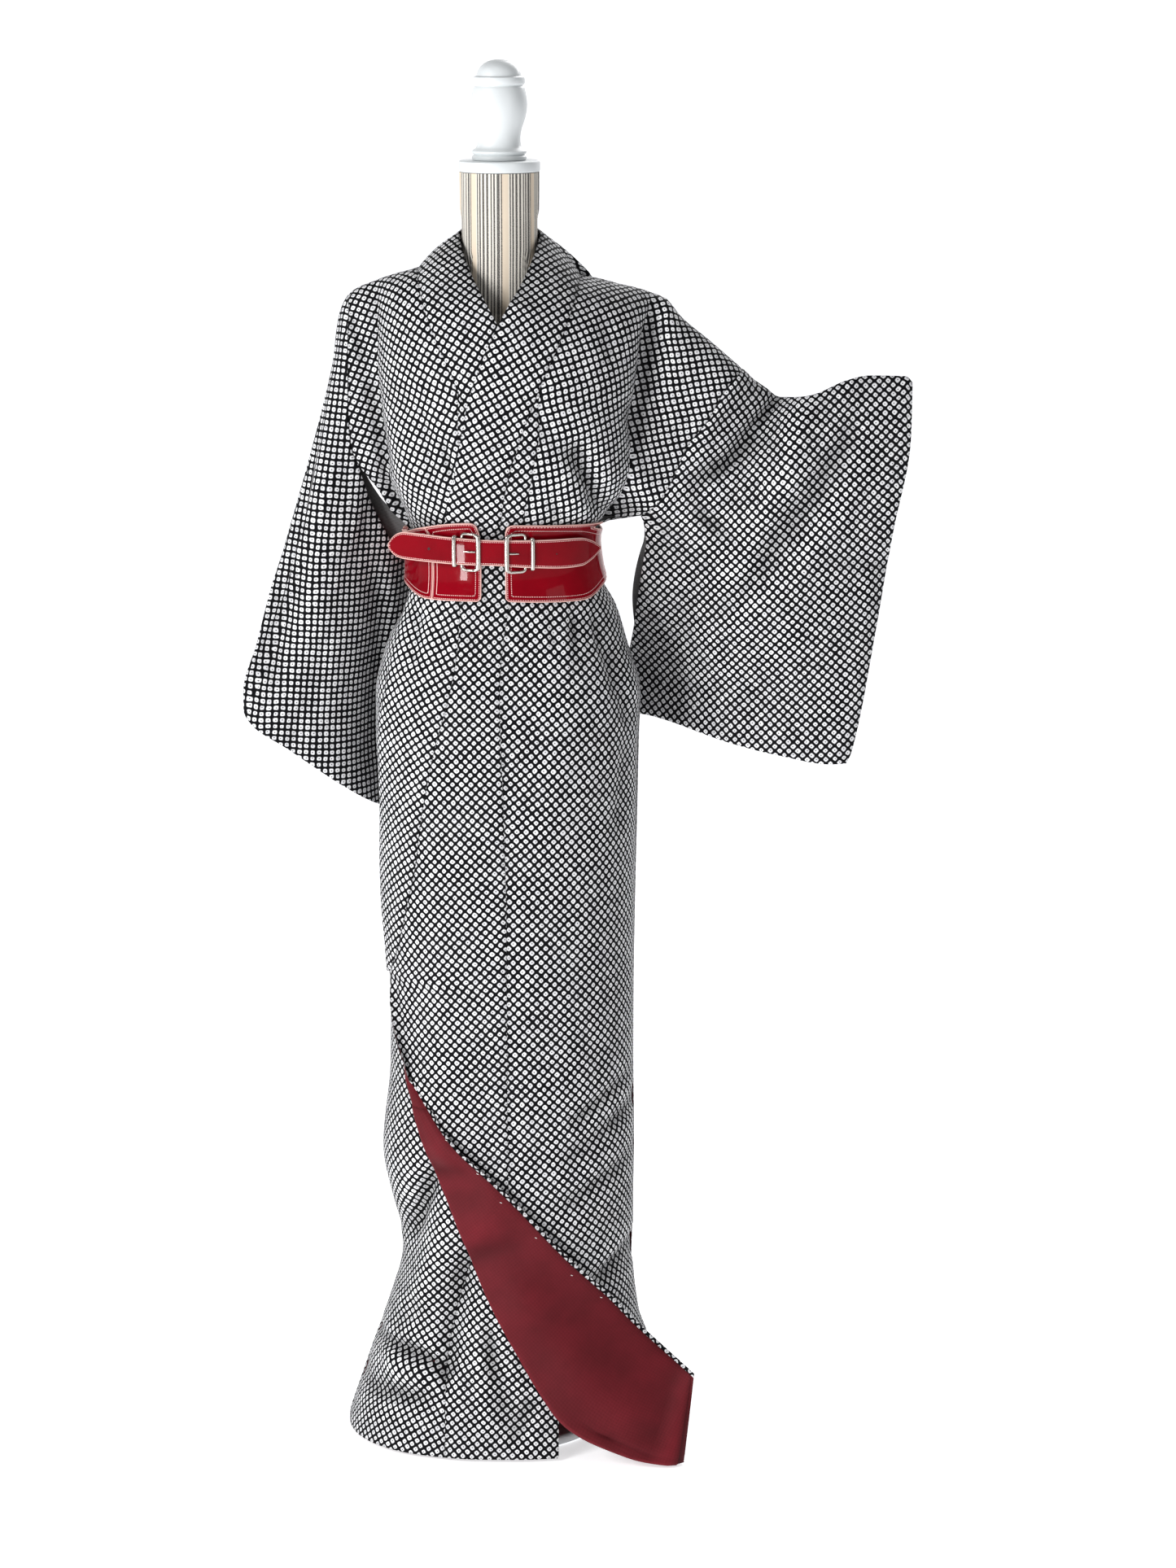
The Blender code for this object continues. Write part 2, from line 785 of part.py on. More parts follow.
def angle_at(x, height, offset):
    """The angle of a row at which the front of the garment shows at x."""
    low, high = -90.0, 90.0
    for _ in range(20):
        angle = (low + high) / 2
        reached = base_point(angle, height, False).x + offset * math.sin(math.radians(angle))
        if reached < x:
            low = angle
        else:
            high = angle
    return angle


def collar_seam_x(side, height):
    x = side * 60.0
    for _ in range(6):
        x = side * COLLAR_SEAM.at(front_z(height, x), "x")
    return x


def stand_off(angle, height):
    """How far the wearer's left front stands off the layer below, above and beside its fold."""
    stand = FOLD.at(height, "stand")
    if stand < 0.01:
        return 0.0
    return stand * min(1.0, (90 - angle) / (90 - fold_angle(height))) ** 2


def fold_angle(height):
    key = round(height, 1)
    if key not in FOLD_ANGLES:
        FOLD_ANGLES[key] = angle_at(
            FOLD.at(height, "x"), height, LAYER + FOLD.at(height, "stand")
        )
    return FOLD_ANGLES[key]


def front_point(side, angle, height, sink=0.0):
    """A point of the front's outer face, or this far under it."""
    if side < 0:
        return skin(angle, height, False, -sink)
    point = skin(angle, height, False, LAYER - sink)
    if height < CORNER_TOP:
        facing = outward(angle, height, False)
        level = Vector((facing.x, facing.y, 0)).normalized()
        point += level * stand_off(angle, height)
    return point


def front_angle(side, x, height):
    """The angle at which a front panel's outer face shows at x."""
    low, high = -90.0, 90.0
    for _ in range(18):
        angle = (low + high) / 2
        if front_point(side, angle, height).x < x:
            low = angle
        else:
            high = angle
    return angle


def back_offset(angle):
    """The back joins the outer layer on the wearer's left to the inner one on the right."""
    return LAYER * (0.5 + 0.5 * math.sin(math.radians(angle)))


def body_seam_x(side, height):
    """The body panel's inner edge in a front row: the overlap panel's seam, or the collar's."""
    if height > OKUMI_TOP:
        return collar_seam_x(side, height)
    x = side * 48.0
    return OKUMI_SEAMS[side].at(front_z(height, x), "x")


def body_panel(name, side):
    """Front and back in one length, from the front hem over the shoulder to the back hem."""
    outer, inner = [], []
    for height in FRONT_HEIGHTS:
        start = seam_angle(side, height, SEAM_GAP / 2)
        angles = row_angles(start, side * 90, PANEL_COLUMNS)
        outer.append([front_point(side, angle, height) for angle in angles])
        inner.append([front_point(side, angle, height, CLOTH) for angle in angles])
    for height in reversed(BACK_HEIGHTS):
        start = side * CENTRE_SEAM
        if height > CHEST:
            x = NECK.at(turn_of(height), "seam_x") + SEAM_GAP / 2
            start = side * max(CENTRE_SEAM, angle_at(x, CHEST, 0))
        angles = row_angles(start, side * 90, PANEL_COLUMNS)
        outer.append([skin(angle, height, True, back_offset(angle)) for angle in angles])
        inner.append([skin(angle, height, True, back_offset(angle) - CLOTH) for angle in angles])
    return wall(name, outer, inner, BLACK_CLOTH, 0.85)


def okumi_right():
    outer, inner = [], []
    for height in FRONT_HEIGHTS:
        if height > OKUMI_TOP:
            break
        if height < COLLAR_FOOT:
            edge = INNER_EDGE.at(height, "x")
        else:
            edge = collar_seam_x(-1, height) - SEAM_GAP / 2
        start = seam_angle(-1, height, -SEAM_GAP / 2)
        end = front_angle(-1, edge, height)
        angles = row_angles(start, end, PANEL_STEPS)
        outer.append([front_point(-1, angle, height) for angle in angles])
        inner.append([front_point(-1, angle, height, CLOTH) for angle in angles])
    return wall("okumi_right", outer, inner, BLACK_CLOTH, 0.85)


def seam_angle(side, height, gap):
    """The angle of the body panel's inner edge; gap is how far past the seam, away from the middle."""
    x = body_seam_x(side, height) + side * gap
    if side < 0 or height >= HEM_SEAM["top"]:
        return front_angle(side, x, height)
    top = front_angle(side, OKUMI_SEAMS[1].at(HEM_SEAM["top"], "x") + gap, HEM_SEAM["top"])
    foot = HEM_SEAM["foot_angle"] + gap / HEM_SEAM["mm_per_degree"]
    return mix(foot, top, height / HEM_SEAM["top"])


def middle_row(height):
    """The middle of the left overlap's cloth along a row, and the way its outer face looks."""
    start = seam_angle(1, height, -SEAM_GAP / 2)
    if height > COLLAR_FOOT - 1:
        end = front_angle(1, collar_seam_x(1, height) + SEAM_GAP / 2, height)
        turn = 0.0
    else:
        turn = CURL.get(height, 180.0 if height < CORNER_TOP else 0.0)
        if height >= CORNER_TOP:
            end_x, end_z = OUTER_EDGE.at(height, "x"), height
        else:
            end_x, end_z = CORNER.at(height, "fold_x"), CORNER.at(height, "fold_z")
        end = front_angle(1, end_x, end_z)
    last_z = height if height >= CORNER_TOP else CORNER.at(height, "fold_z")
    points, normals = [], []
    for step in range(PANEL_STEPS + TURN_STEPS + FLAP_STEPS + 1):
        if turn and step > PANEL_STEPS:
            break
        if turn:
            share = step / PANEL_STEPS
        elif step <= PANEL_STEPS:
            share = PLAIN_SHARE * step / PANEL_STEPS
        else:
            past = (step - PANEL_STEPS) / (TURN_STEPS + FLAP_STEPS)
            share = mix(PLAIN_SHARE, 1, past)
        angle = mix(start, end, share)
        z = mix(height, last_z, share)
        points.append(front_point(1, angle, z, CLOTH / 2))
        normals.append(outward(angle, z, False))
    if not turn:
        return points, normals
    fold, facing = points[-1], normals[-1]
    onward = fold - points[-2]
    onward = (onward - facing * onward.dot(facing)).normalized()
    radius = math.radians(180) * TURN_RADIUS / math.radians(turn)
    for step in range(1, TURN_STEPS + 1):
        bend = math.radians(turn) * step / TURN_STEPS
        points.append(
            fold + onward * (radius * math.sin(bend)) + facing * (radius * (1 - math.cos(bend)))
        )
        normals.append(facing * math.cos(bend) - onward * math.sin(bend))
    begin, final = points[-1], normals[-1]
    bend = math.radians(turn)
    direction = onward * math.cos(bend) + facing * math.sin(bend)
    if height >= CORNER_TOP:
        for step in range(1, FLAP_STEPS + 1):
            points.append(begin + direction * (EDGE_LENGTH * step / FLAP_STEPS))
            normals.append(final)
        return points, normals
    edge = Vector(tuple(CORNER.at(height, name) for name in ("edge_x", "edge_y", "edge_z")))
    length = (edge - begin).length
    bulge = facing * (FLAP_BULGE * min(1.0, length / FLAP_FULL))
    for step in range(1, FLAP_STEPS + 1):
        t = step / (FLAP_STEPS - 1) if step < FLAP_STEPS - 1 else 1 - PIPING / length
        if step == FLAP_STEPS:
            t = 1.0
        spring = direction * (FLAP_SPRING * length * t * (1 - t) ** 2)
        reached = begin + (edge - begin) * t**FLAP_LAG
        points.append(reached + spring + bulge * math.sin(math.pi * t))
        normals.append(None)
    return points, normals


def face_rows(rows):
    """Fill in the flap's normals from its own grid."""
    for i, (points, normals) in enumerate(rows):
        for j, normal in enumerate(normals):
            if normal is not None:
                continue
            along = points[min(j + 1, len(points) - 1)] - points[j - 1]
            up = rows[min(i + 1, len(rows) - 1)][0][j] - rows[max(i - 1, 0)][0][j]
            facing = along.cross(up).normalized()
            before = normals[j - 1]
            normals[j] = facing if facing.dot(before) > 0 else -facing
    return rows


def shifted(rows, lift):
    return [
        [point + normal * lift for point, normal in zip(points, normals)]
        for points, normals in rows
    ]


def left_overlap():
    """The left overlap with its turned-back corner, and the lining that shows on it."""
    heights = [height for height in FRONT_HEIGHTS if height <= OKUMI_TOP]
    rows = face_rows([middle_row(height) for height in heights])
    wall("okumi_left", shifted(rows, CLOTH / 2), shifted(rows, -CLOTH / 2), BLACK_CLOTH, 0.85)
    first, last = heights.index(LINING_FOOT), heights.index(LINING_TOP)
    shown = [
        (points[PANEL_STEPS - 1 : -1], normals[PANEL_STEPS - 1 : -1])
        for points, normals in rows[first : last + 1]
    ]
    near = -CLOTH / 2 - LINING_GAP
    wall("corner_lining", shifted(shown, near), shifted(shown, near - LINING), RED_LINING, 0.9)


def collar_row(side, height):
    """Seam and free edge of the collar for one row of the front: two skin places."""
    gap = SEAM_GAP if height <= CHEST else COLLAR_GAP
    seam_x = collar_seam_x(side, height) - side * gap
    z = front_z(height, seam_x)
    seam = front_angle(side, seam_x, height)
    edge_x = side * COLLAR_EDGE.at(z, "x")
    edge_angle, edge_height = locate(edge_x, COLLAR_EDGE.at(z, "z"), LAYER if side > 0 else 0)
    return (seam, height), (edge_angle, edge_height)


def collar_station(side, height):
    """Outer and inner face points of the collar from its seam to its free edge."""
    lift = LAYER if side > 0 else 0.0
    rise, sink = lift + COLLAR_RISE, lift + COLLAR_RISE - BAND
    seam, edge = collar_row(side, height)
    z = front_z(height, collar_seam_x(side, height))
    outer, inner = [], []
    if z <= COLLAR_CHEST_TOP:
        for share in COLLAR_SHARES:
            angle, level = mix(seam[0], edge[0], share), mix(seam[1], edge[1], share)
            outer.append(skin(angle, level, False, rise))
            inner.append(skin(angle, level, False, sink))
        return outer, inner
    foot = skin(seam[0], height, False, rise)
    foot_in = skin(seam[0], height, False, sink)
    top = Vector(tuple(COLLAR_STAND.at(height, name) for name in "xyz"))
    top.x *= side
    return stood_up(foot, foot_in, top)


def stood_up(foot, foot_in, top):
    """A band from the cloth up to its free edge near the neck, curving upright."""
    facing = (foot - foot_in).normalized()
    run = top - foot
    away = Vector((top.x, top.y, 0)).normalized()
    outer, inner = [foot], [foot_in]
    for share in COLLAR_SHARES[1:]:
        level = foot + run * share + facing * (COLLAR_SWELL * math.sin(math.pi * share))
        normal = facing.lerp(away, share).normalized()
        outer.append(level)
        inner.append(level - normal * BAND)
    return outer, inner


def back_station(side, turn):
    height = CHEST + ARCH * turn / 90
    x = max(NECK.at(turn, "seam_x") - COLLAR_GAP, 0.0)
    angle = side * angle_at(x, CHEST, 0) if x else 0.0
    lift = back_offset(angle) if turn < 90 else (LAYER if side > 0 else 0.0)
    foot = skin(angle, height + SEAM_GAP, True, lift + COLLAR_RISE)
    foot_in = skin(angle, height + SEAM_GAP, True, lift + COLLAR_RISE - BAND)
    top = Vector(tuple(NECK.at(turn, name) for name in "xyz"))
    top.x *= side
    return stood_up(foot, foot_in, top)


def collar():
    """One band, from the left front round the neck and down the right front."""
    fronts = [height for height in FRONT_HEIGHTS if height >= COLLAR_FOOT]
    stations = [collar_station(1, height) for height in fronts]
    stations += [back_station(1, turn) for turn in NECK_TURNS]
    stations += [back_station(-1, turn) for turn in reversed(NECK_TURNS[:-1])]
    stations += [collar_station(-1, height) for height in reversed(fronts)]
    outer = [station[0] for station in stations]
    inner = [station[1] for station in stations]
    wall("collar", outer, inner, BLACK_CLOTH, 0.85)


def sleeve_folds(side, x, z):
    total = 0.0
    for top_x, top_z, foot_x, foot_z, width, depth in SLEEVE_FOLDS[side]:
        run_x, run_z = foot_x - top_x, foot_z - top_z
        length = math.hypot(run_x, run_z)
        along = ((x - top_x) * run_x + (z - top_z) * run_z) / length**2
        aside = ((x - top_x) * run_z - (z - top_z) * run_x) / length
        ends = smooth((along + SLEEVE_PAST) / SLEEVE_FADE)
        ends *= smooth((1 + SLEEVE_PAST - along) / SLEEVE_FADE)
        total += depth * ends * math.exp(-((aside / width) ** 2))
    return total


def sleeve_middle(side, s, t):
    """The middle of the bag: a patch stretched between its four sides."""
    sides = SLEEVES[side]

    def point(name, key):
        return Vector(tuple(sides[name].at(key, axis) for axis in "xyz"))

    across = point("seam", t).lerp(point("cuff", t), s)
    down = point("top", s).lerp(point("bottom", s), t)
    high = point("top", 0.0).lerp(point("top", 1.0), s)
    low = point("bottom", 0.0).lerp(point("bottom", 1.0), s)
    middle = across + down - high.lerp(low, t)
    inside = 4 * s * (1 - s)
    middle.y += sleeve_folds(side, middle.x, middle.z) * min(1.0, inside * 1.6)
    return middle


def sleeve_half(side, s, t, seam_half):
    """Half the hollow between the bag's two layers."""
    sides = SLEEVES[side]
    arch = max(0.0, math.sin(math.pi * t)) ** 0.6
    body = sides["half"] * arch * math.sin(math.pi * s) ** 0.7
    cuff = 0.0
    if t < sides["cuff_open"]:
        cuff = sides["cuff_half"] * math.sin(math.pi * t / sides["cuff_open"]) ** 0.6
    return SEWN_HALF + body + cuff * s**3 + seam_half * (1 - s) ** 3


def sleeve(name, side):
    """A flat bag: open at the hand above the cuff's seam, and to the body below the armhole."""
    rows = [height for height in FRONT_HEIGHTS if height >= ARMPIT[side]]
    rows.reverse()
    lift = LAYER if side > 0 else 0.0
    edge_points = []
    for height in rows:
        front = skin(side * 90, height, False, lift)
        back = skin(side * 90, height, True, back_offset(side * 90))
        edge_points.append((height, front, back))
    travelled = [0.0]
    for (_, before, _), (_, after, _) in zip(edge_points, edge_points[1:]):
        travelled.append(travelled[-1] + math.hypot(after.x - before.x, after.z - before.z))
    places = [ARM_SHARE * distance / travelled[-1] for distance in travelled]
    ts = places + list(FURI_STEPS)
    outer, inner = [], []
    for s in SLEEVE_STATIONS:
        fronts, fronts_in, backs, backs_in = [], [], [], []
        for index, t in enumerate(ts):
            attached = index < len(places)
            if attached:
                height, front, back = edge_points[index]
                seam_half = (back.y - front.y) / 2 - CLOTH
            else:
                seam_half = FURI_HALF
            if s == 0 and attached:
                away = Vector((side * ARMHOLE_GAP, 0, 0))
                front_in = skin(side * 90, height, False, lift - CLOTH)
                back_in = skin(side * 90, height, True, back_offset(side * 90) - CLOTH)
                fronts.append(front + away)
                fronts_in.append(front_in + away)
                backs.append(back + away)
                backs_in.append(back_in + away)
                continue
            middle = sleeve_middle(side, s, t)
            step = SLOPE_STEP
            along = sleeve_middle(side, min(s + step, 1), t) - sleeve_middle(side, max(s - step, 0), t)
            down = sleeve_middle(side, s, min(t + step, 1)) - sleeve_middle(side, s, max(t - step, 0))
            facing = along.cross(down).normalized() * -side
            facing = facing.lerp(FRONTWARDS, s**CUFF_SQUARE).normalized()
            half = sleeve_half(side, s, t, max(seam_half, 0.0))
            if index == 0:
                half = 0.0
            end = Vector((0, 0, 0))
            if index == 0:
                end = -down.normalized() * CLOTH
            elif index == len(ts) - 1:
                end = down.normalized() * CLOTH
            fronts.append(middle + facing * (half + CLOTH * (index > 0)) + end)
            fronts_in.append(middle + facing * half)
            backs.append(middle - facing * (half + CLOTH * (index > 0)) + end)
            backs_in.append(middle - facing * half)
        outer.append(fronts + backs[:0:-1])
        inner.append(fronts_in + backs_in[:0:-1])
    return wall(name, outer, inner, BLACK_CLOTH, 0.85, ring=True)


def belt_point(angle, height, back, offset):
    """Leather bends round the waist and only partly follows its hollow."""
    point = base_point(angle, height, back)
    facing = outward(angle, height, back)
    return point + Vector((facing.x, facing.y, facing.z * BELT_LEAN)).normalized() * offset


def belt_piece(name, stations):
    """stations are (angle, back) pairs round the waist."""
    outer, inner = [], []
    for angle, back in stations:
        foot, top = BELT_BACK
        if not back:
            foot, top = BELT_EDGE.at(angle, "foot"), BELT_EDGE.at(angle, "top")
        heights = row_angles(foot, top, BELT_ROWS)
        outer.append([belt_point(angle, height, back, BELT_OUTER) for height in heights])
        inner.append([belt_point(angle, height, back, BELT_INNER) for height in heights])
    return wall(name, outer, inner, RED_LEATHER, 0.15)


def spread_angles(start, end, count):
    return [(mix(start, end, step / count), False) for step in range(count + 1)]


def belt():
    right_front, left_front = [angle_at(x, BELT_LEVEL, BELT_OUTER) for x in BELT_FRONT]
    belt_piece("belt_panel_right", spread_angles(-BELT_SIDE, right_front, BELT_STEPS))
    belt_piece("belt_panel_left", spread_angles(left_front, BELT_SIDE, BELT_STEPS))
    half = [(BELT_SIDE + BELT_GAP_TURN, False), (BELT_CORNER_TURN, False)]
    half += [(turn, True) for turn in BELT_BACK_TURNS]
    mirrored = [(-turn, back) for turn, back in reversed(half)]
    belt_piece("belt_back", half + [(0, True)] + mirrored)


def along_strap(x, lift, z):
    """A place on or near the strap, this far outside the cloth."""
    held = max(x, STRAP_LEAVES)
    angle = angle_at(held, STRAP_LEVEL, STRAP_INNER)
    base = base_point(angle, STRAP_LEVEL, False)
    facing = outward(angle, STRAP_LEVEL, False)
    facing = Vector((facing.x, facing.y, 0)).normalized()
    place = base + facing * lift
    if x < STRAP_LEAVES:
        onward = Vector((facing.y, -facing.x, 0))
        onward *= -1 if onward.x > 0 else 1
        inner = base + facing * STRAP_INNER
        reach = (x - inner.x) / onward.x
        place += onward * reach
    return Vector((place.x, place.y, z))


def strap():
    outer, inner = [], []
    for x in STRAP_PLACES:
        foot, top = STRAP.at(x, "foot"), STRAP.at(x, "top")
        for grid, lift in ((outer, STRAP_OUTER), (inner, STRAP_INNER)):
            grid.append([along_strap(x, lift, mix(foot, top, share)) for share in (0, 0.5, 1)])
    return wall("belt_strap", outer, inner, RED_LEATHER, 0.15)


def tube(name, path, radius, closed, flat, sides=8):
    """A round wire along a path of points that lies roughly square to flat."""
    count = len(path)
    vertices = []
    for i, point in enumerate(path):
        before = path[(i - 1) % count] if closed or i else path[0]
        after = path[(i + 1) % count] if closed or i < count - 1 else path[-1]
        along = (after - before).normalized()
        aside = along.cross(flat).normalized()
        face = aside.cross(along).normalized()
        for step in range(sides):
            turn = 2 * math.pi * step / sides
            across = radius * math.cos(turn)
            vertices.append(point + aside * across + face * (radius * math.sin(turn)))
    faces = []
    for i in range(count if closed else count - 1):
        for j in range(sides):
            near, far = i * sides, (i + 1) % count * sides
            faces.append((near + j, near + (j + 1) % sides, far + (j + 1) % sides, far + j))
    if not closed:
        faces.append(tuple(range(sides)))
        faces.append(tuple(range((count - 1) * sides, count * sides)))
    return finish(name, vertices, faces, STEEL, 0.3, 1.0)


def buckle(name):
    at = BUCKLES[name]
    bar, bow, foot, top = at["bar"], at["bow"], at["foot"], at["top"]
    over = STRAP_OUTER + SEAM_GAP + WIRE
    way = 1 if bow > bar else -1
    corner = BUCKLE_CORNER
    near = corner * BUCKLE_CUT
    path = []
    for x, z, lift in (
        (bar, foot + corner, over),
        (bar, mix(foot, top, 0.5), over),
        (bar, top - corner, over),
        (bar + way * near, top - near, over - 0.3),
        (bar + way * corner, top, over - 1.2),
        (mix(bar, bow, 0.5), top, mix(over, BOW_LIFT, 0.5)),
        (bow - way * corner, top, BOW_LIFT + 1.0),
        (bow - way * near, top - near, BOW_LIFT + 0.2),
        (bow, top - corner, BOW_LIFT),
        (bow, mix(foot, top, 0.5), BOW_LIFT),
        (bow, foot + corner, BOW_LIFT),
        (bow - way * near, foot + near, BOW_LIFT + 0.2),
        (bow - way * corner, foot, BOW_LIFT + 1.0),
        (mix(bar, bow, 0.5), foot, mix(over, BOW_LIFT, 0.5)),
        (bar + way * corner, foot, over - 1.2),
        (bar + way * near, foot + near, over - 0.3),
    ):
        path.append(along_strap(x, lift, z))
    return tube(name, path, WIRE, True, Vector((0, -1, 0)))


def prong(name):
    start, end, z = PINS[name]
    lift = STRAP_OUTER + SEAM_GAP + PIN
    path = [along_strap(mix(start, end, share), lift, z) for share in (0, 0.33, 0.67, 1)]
    return tube(name, path, PIN, False, Vector((0, -1, 0)), 8)


def loop(name):
    x = LOOPS[name]
    low = STRAP.at(x, "foot") - LOOP_CLEAR - LOOP_WIRE
    high = STRAP.at(x, "top") + LOOP_CLEAR + LOOP_WIRE
    over = STRAP_OUTER + SEAM_GAP + LOOP_WIRE
    under = BOW_LIFT
    round_off = LOOP_CORNER
    path = [
        along_strap(x, over, low + round_off),
        along_strap(x, over, high - round_off),
        along_strap(x, over - round_off, high),
        along_strap(x, under + round_off, high),
        along_strap(x, under, high - round_off),
        along_strap(x, under, low + round_off),
        along_strap(x, under + round_off, low),
        along_strap(x, over - round_off, low),
    ]
    return tube(name, path, LOOP_WIRE, True, Vector((1, 0, 0)))


def cloth_height(x, y):
    """The height of the inner layer's outer face over a place of the shoulder's plan."""
    side = "right" if x > MIDDLE else "left"
    reach = abs(SECTIONS.at(CHEST, side) - MIDDLE)
    depth = SECTIONS.at(CHEST, "back" if y > RIDGE_Y else "front")
    sine = min(0.999, abs(x - MIDDLE) / reach) ** (1 / ROUND)
    edge = max(SHOULDER_EDGE, depth * math.sqrt(1 - sine**2) ** ROUND)
    run = min(1.0, abs(y - RIDGE_Y) / (edge + (RIDGE_Y if y < RIDGE_Y else -RIDGE_Y)))
    cosine = run ** (1 / ROUND)
    rise = math.sqrt(max(0.0, 1 - cosine**2)) ** ROUND
    return mix(CHEST, RIDGE_HEIGHTS.at(x, "height"), rise)


def form_ring(height):
    points = []
    for step in range(FORM_SEGMENTS):
        turn = 2 * math.pi * step / FORM_SEGMENTS
        sine, cosine = math.sin(turn), math.cos(turn)
        reach = abs(SECTIONS.at(height, "right" if sine > 0 else "left") - MIDDLE) - FORM_CLEAR
        depth = SECTIONS.at(height, "back" if cosine < 0 else "front") - FORM_CLEAR
        x = MIDDLE + math.copysign(reach * abs(sine) ** ROUND, sine)
        y = -math.copysign(depth * abs(cosine) ** ROUND, cosine)
        points.append(Vector((x, y, height)))
    return points


def circle(radius, height):
    points = []
    for step in range(FORM_SEGMENTS):
        turn = 2 * math.pi * step / FORM_SEGMENTS
        points.append(Vector((radius * math.sin(turn), -radius * math.cos(turn), height)))
    return points


def form_body():
    rings = [form_ring(height) for height in FORM_HEIGHTS]
    chest, neck = rings[-1], circle(*FORM_NECK[0])
    for inward, rise in FORM_SHOULDER:
        ring = []
        for outer, inner in zip(chest, neck):
            place = outer.lerp(inner, inward)
            throat = THROAT_DROP * max(0.0, -inner.y / FORM_NECK[0][0]) * smooth(inward * 1.5)
            top = cloth_height(place.x, place.y) - SHOULDER_DROP - throat
            ring.append(Vector((place.x, place.y, mix(CHEST, top, rise))))
        rings.append(ring)
    rings += [circle(radius, height) for radius, height in FORM_NECK]
    vertices = [point for ring in rings for point in ring]
    count = FORM_SEGMENTS
    faces = [tuple(range(count)), tuple(range(len(vertices) - count, len(vertices)))]
    for i in range(len(rings) - 1):
        for j in range(count):
            after = (j + 1) % count
            low, high = i * count, (i + 1) * count
            faces.append((low + j, low + after, high + after, high + j))
    return finish("form_body", vertices, faces, TICKING, 0.9)


def form():
    form_body()
    turned("form_cap", CAP, WHITE_PAINT, 0.4)
    turned("form_finial", FINIAL, WHITE_PAINT, 0.3)
    pole = ((POLE_RADIUS, BASE_THICK + FORM_GAP), (POLE_RADIUS, FORM_FOOT - FORM_GAP))
    turned("form_pole", pole, WHITE_PAINT, 0.4)
    base = (
        (BASE_RADIUS - 2, 0),
        (BASE_RADIUS, 2),
        (BASE_RADIUS, BASE_THICK - 3),
        (BASE_RADIUS - 4, BASE_THICK),
    )
    turned("form_base", base, WHITE_PAINT, 0.4)


body_panel("body_left", 1)
body_panel("body_right", -1)
okumi_right()
left_overlap()
collar()
sleeve("sleeve_left", 1)
sleeve("sleeve_right", -1)
belt()
strap()
for name in BUCKLES:
    buckle(name)
for name in PINS:
    prong(name)
for name in LOOPS:
    loop(name)
form()
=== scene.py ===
import math

import bpy
import numpy as np
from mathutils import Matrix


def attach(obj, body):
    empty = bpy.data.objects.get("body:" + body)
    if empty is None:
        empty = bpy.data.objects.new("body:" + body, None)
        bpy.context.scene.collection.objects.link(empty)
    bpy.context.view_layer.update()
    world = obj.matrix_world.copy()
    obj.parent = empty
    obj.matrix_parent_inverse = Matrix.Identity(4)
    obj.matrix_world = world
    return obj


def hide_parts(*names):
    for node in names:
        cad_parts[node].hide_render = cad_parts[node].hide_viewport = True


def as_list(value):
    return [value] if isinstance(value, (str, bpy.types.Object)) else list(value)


# The kimono and its form, in millimetres here and metres in the scene.
# Left and right are the wearer's; the wearer's left is at +X and the front faces -Y.
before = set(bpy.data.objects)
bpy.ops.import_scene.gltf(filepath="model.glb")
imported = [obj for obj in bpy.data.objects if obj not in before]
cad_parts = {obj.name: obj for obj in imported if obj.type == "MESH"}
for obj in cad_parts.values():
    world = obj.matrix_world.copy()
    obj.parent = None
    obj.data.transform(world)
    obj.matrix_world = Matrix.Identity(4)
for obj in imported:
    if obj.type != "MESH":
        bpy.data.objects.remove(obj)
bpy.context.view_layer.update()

cameraSet = {"place": (0.105, -4.5, 1.82), "tilt": 77.5, "lens": 86.23}
cameraData = bpy.data.cameras.new("camera")
cameraData.sensor_fit = "VERTICAL"
cameraData.sensor_height = 36
cameraData.lens = cameraSet["lens"]
camera = bpy.data.objects.new("camera", cameraData)
camera.location = cameraSet["place"]
camera.rotation_euler = (math.radians(cameraSet["tilt"]), 0, 0)
bpy.context.scene.collection.objects.link(camera)
bpy.context.scene.camera = camera
print("camera set")


# Curves through the rows of a small table, smooth and without overshoot
def makeCurve(keys, values):
    keys, values = np.array(keys, float), np.array(values, float)
    steps = np.diff(values) / np.diff(keys)
    slopes = np.zeros(len(keys))
    slopes[0], slopes[-1] = steps[0], steps[-1]
    before, after = steps[:-1], steps[1:]
    same = before * after > 0
    total = np.where(same, before + after, 1.0)
    slopes[1:-1] = np.where(same, 2 * before * after / total, 0.0)

    def curve(key):
        key = np.clip(np.asarray(key, float), keys[0], keys[-1])
        i = np.clip(np.searchsorted(keys, key, side="right") - 1, 0, len(keys) - 2)
        span = keys[i + 1] - keys[i]
        t = (key - keys[i]) / span
        return (
            (2 * t**3 - 3 * t**2 + 1) * values[i]
            + (t**3 - 2 * t**2 + t) * span * slopes[i]
            + (3 * t**2 - 2 * t**3) * values[i + 1]
            + (t**3 - t**2) * span * slopes[i + 1]
        )

    return curve


def table(columns, *rows):
    keys = [row[0] for row in rows]
    return {
        name: makeCurve(keys, [row[place] for row in rows])
        for place, name in enumerate(columns[1:], 1)
    }


def placesOf(curves, keys):
    return np.stack([curves[axis](keys) for axis in "xyz"], axis=-1)


def smooth(t):
    t = np.clip(t, 0, 1)
    return t * t * (3 - 2 * t)


def mix(a, b, t):
    return a + (b - a) * t


def unit(vectors):
    return vectors / np.maximum(np.linalg.norm(vectors, axis=-1, keepdims=True), 1e-9)


def together(*values):
    return np.broadcast_arrays(*(np.asarray(value, float) for value in values))


def stack(x, y, z):
    return np.stack(together(x, y, z), axis=-1)


# Lengths along a line and along one way of a grid, and what lies between an array's rows
def pathLengths(line):
    return np.r_[0, np.cumsum(np.linalg.norm(np.diff(line, axis=0), axis=1))]


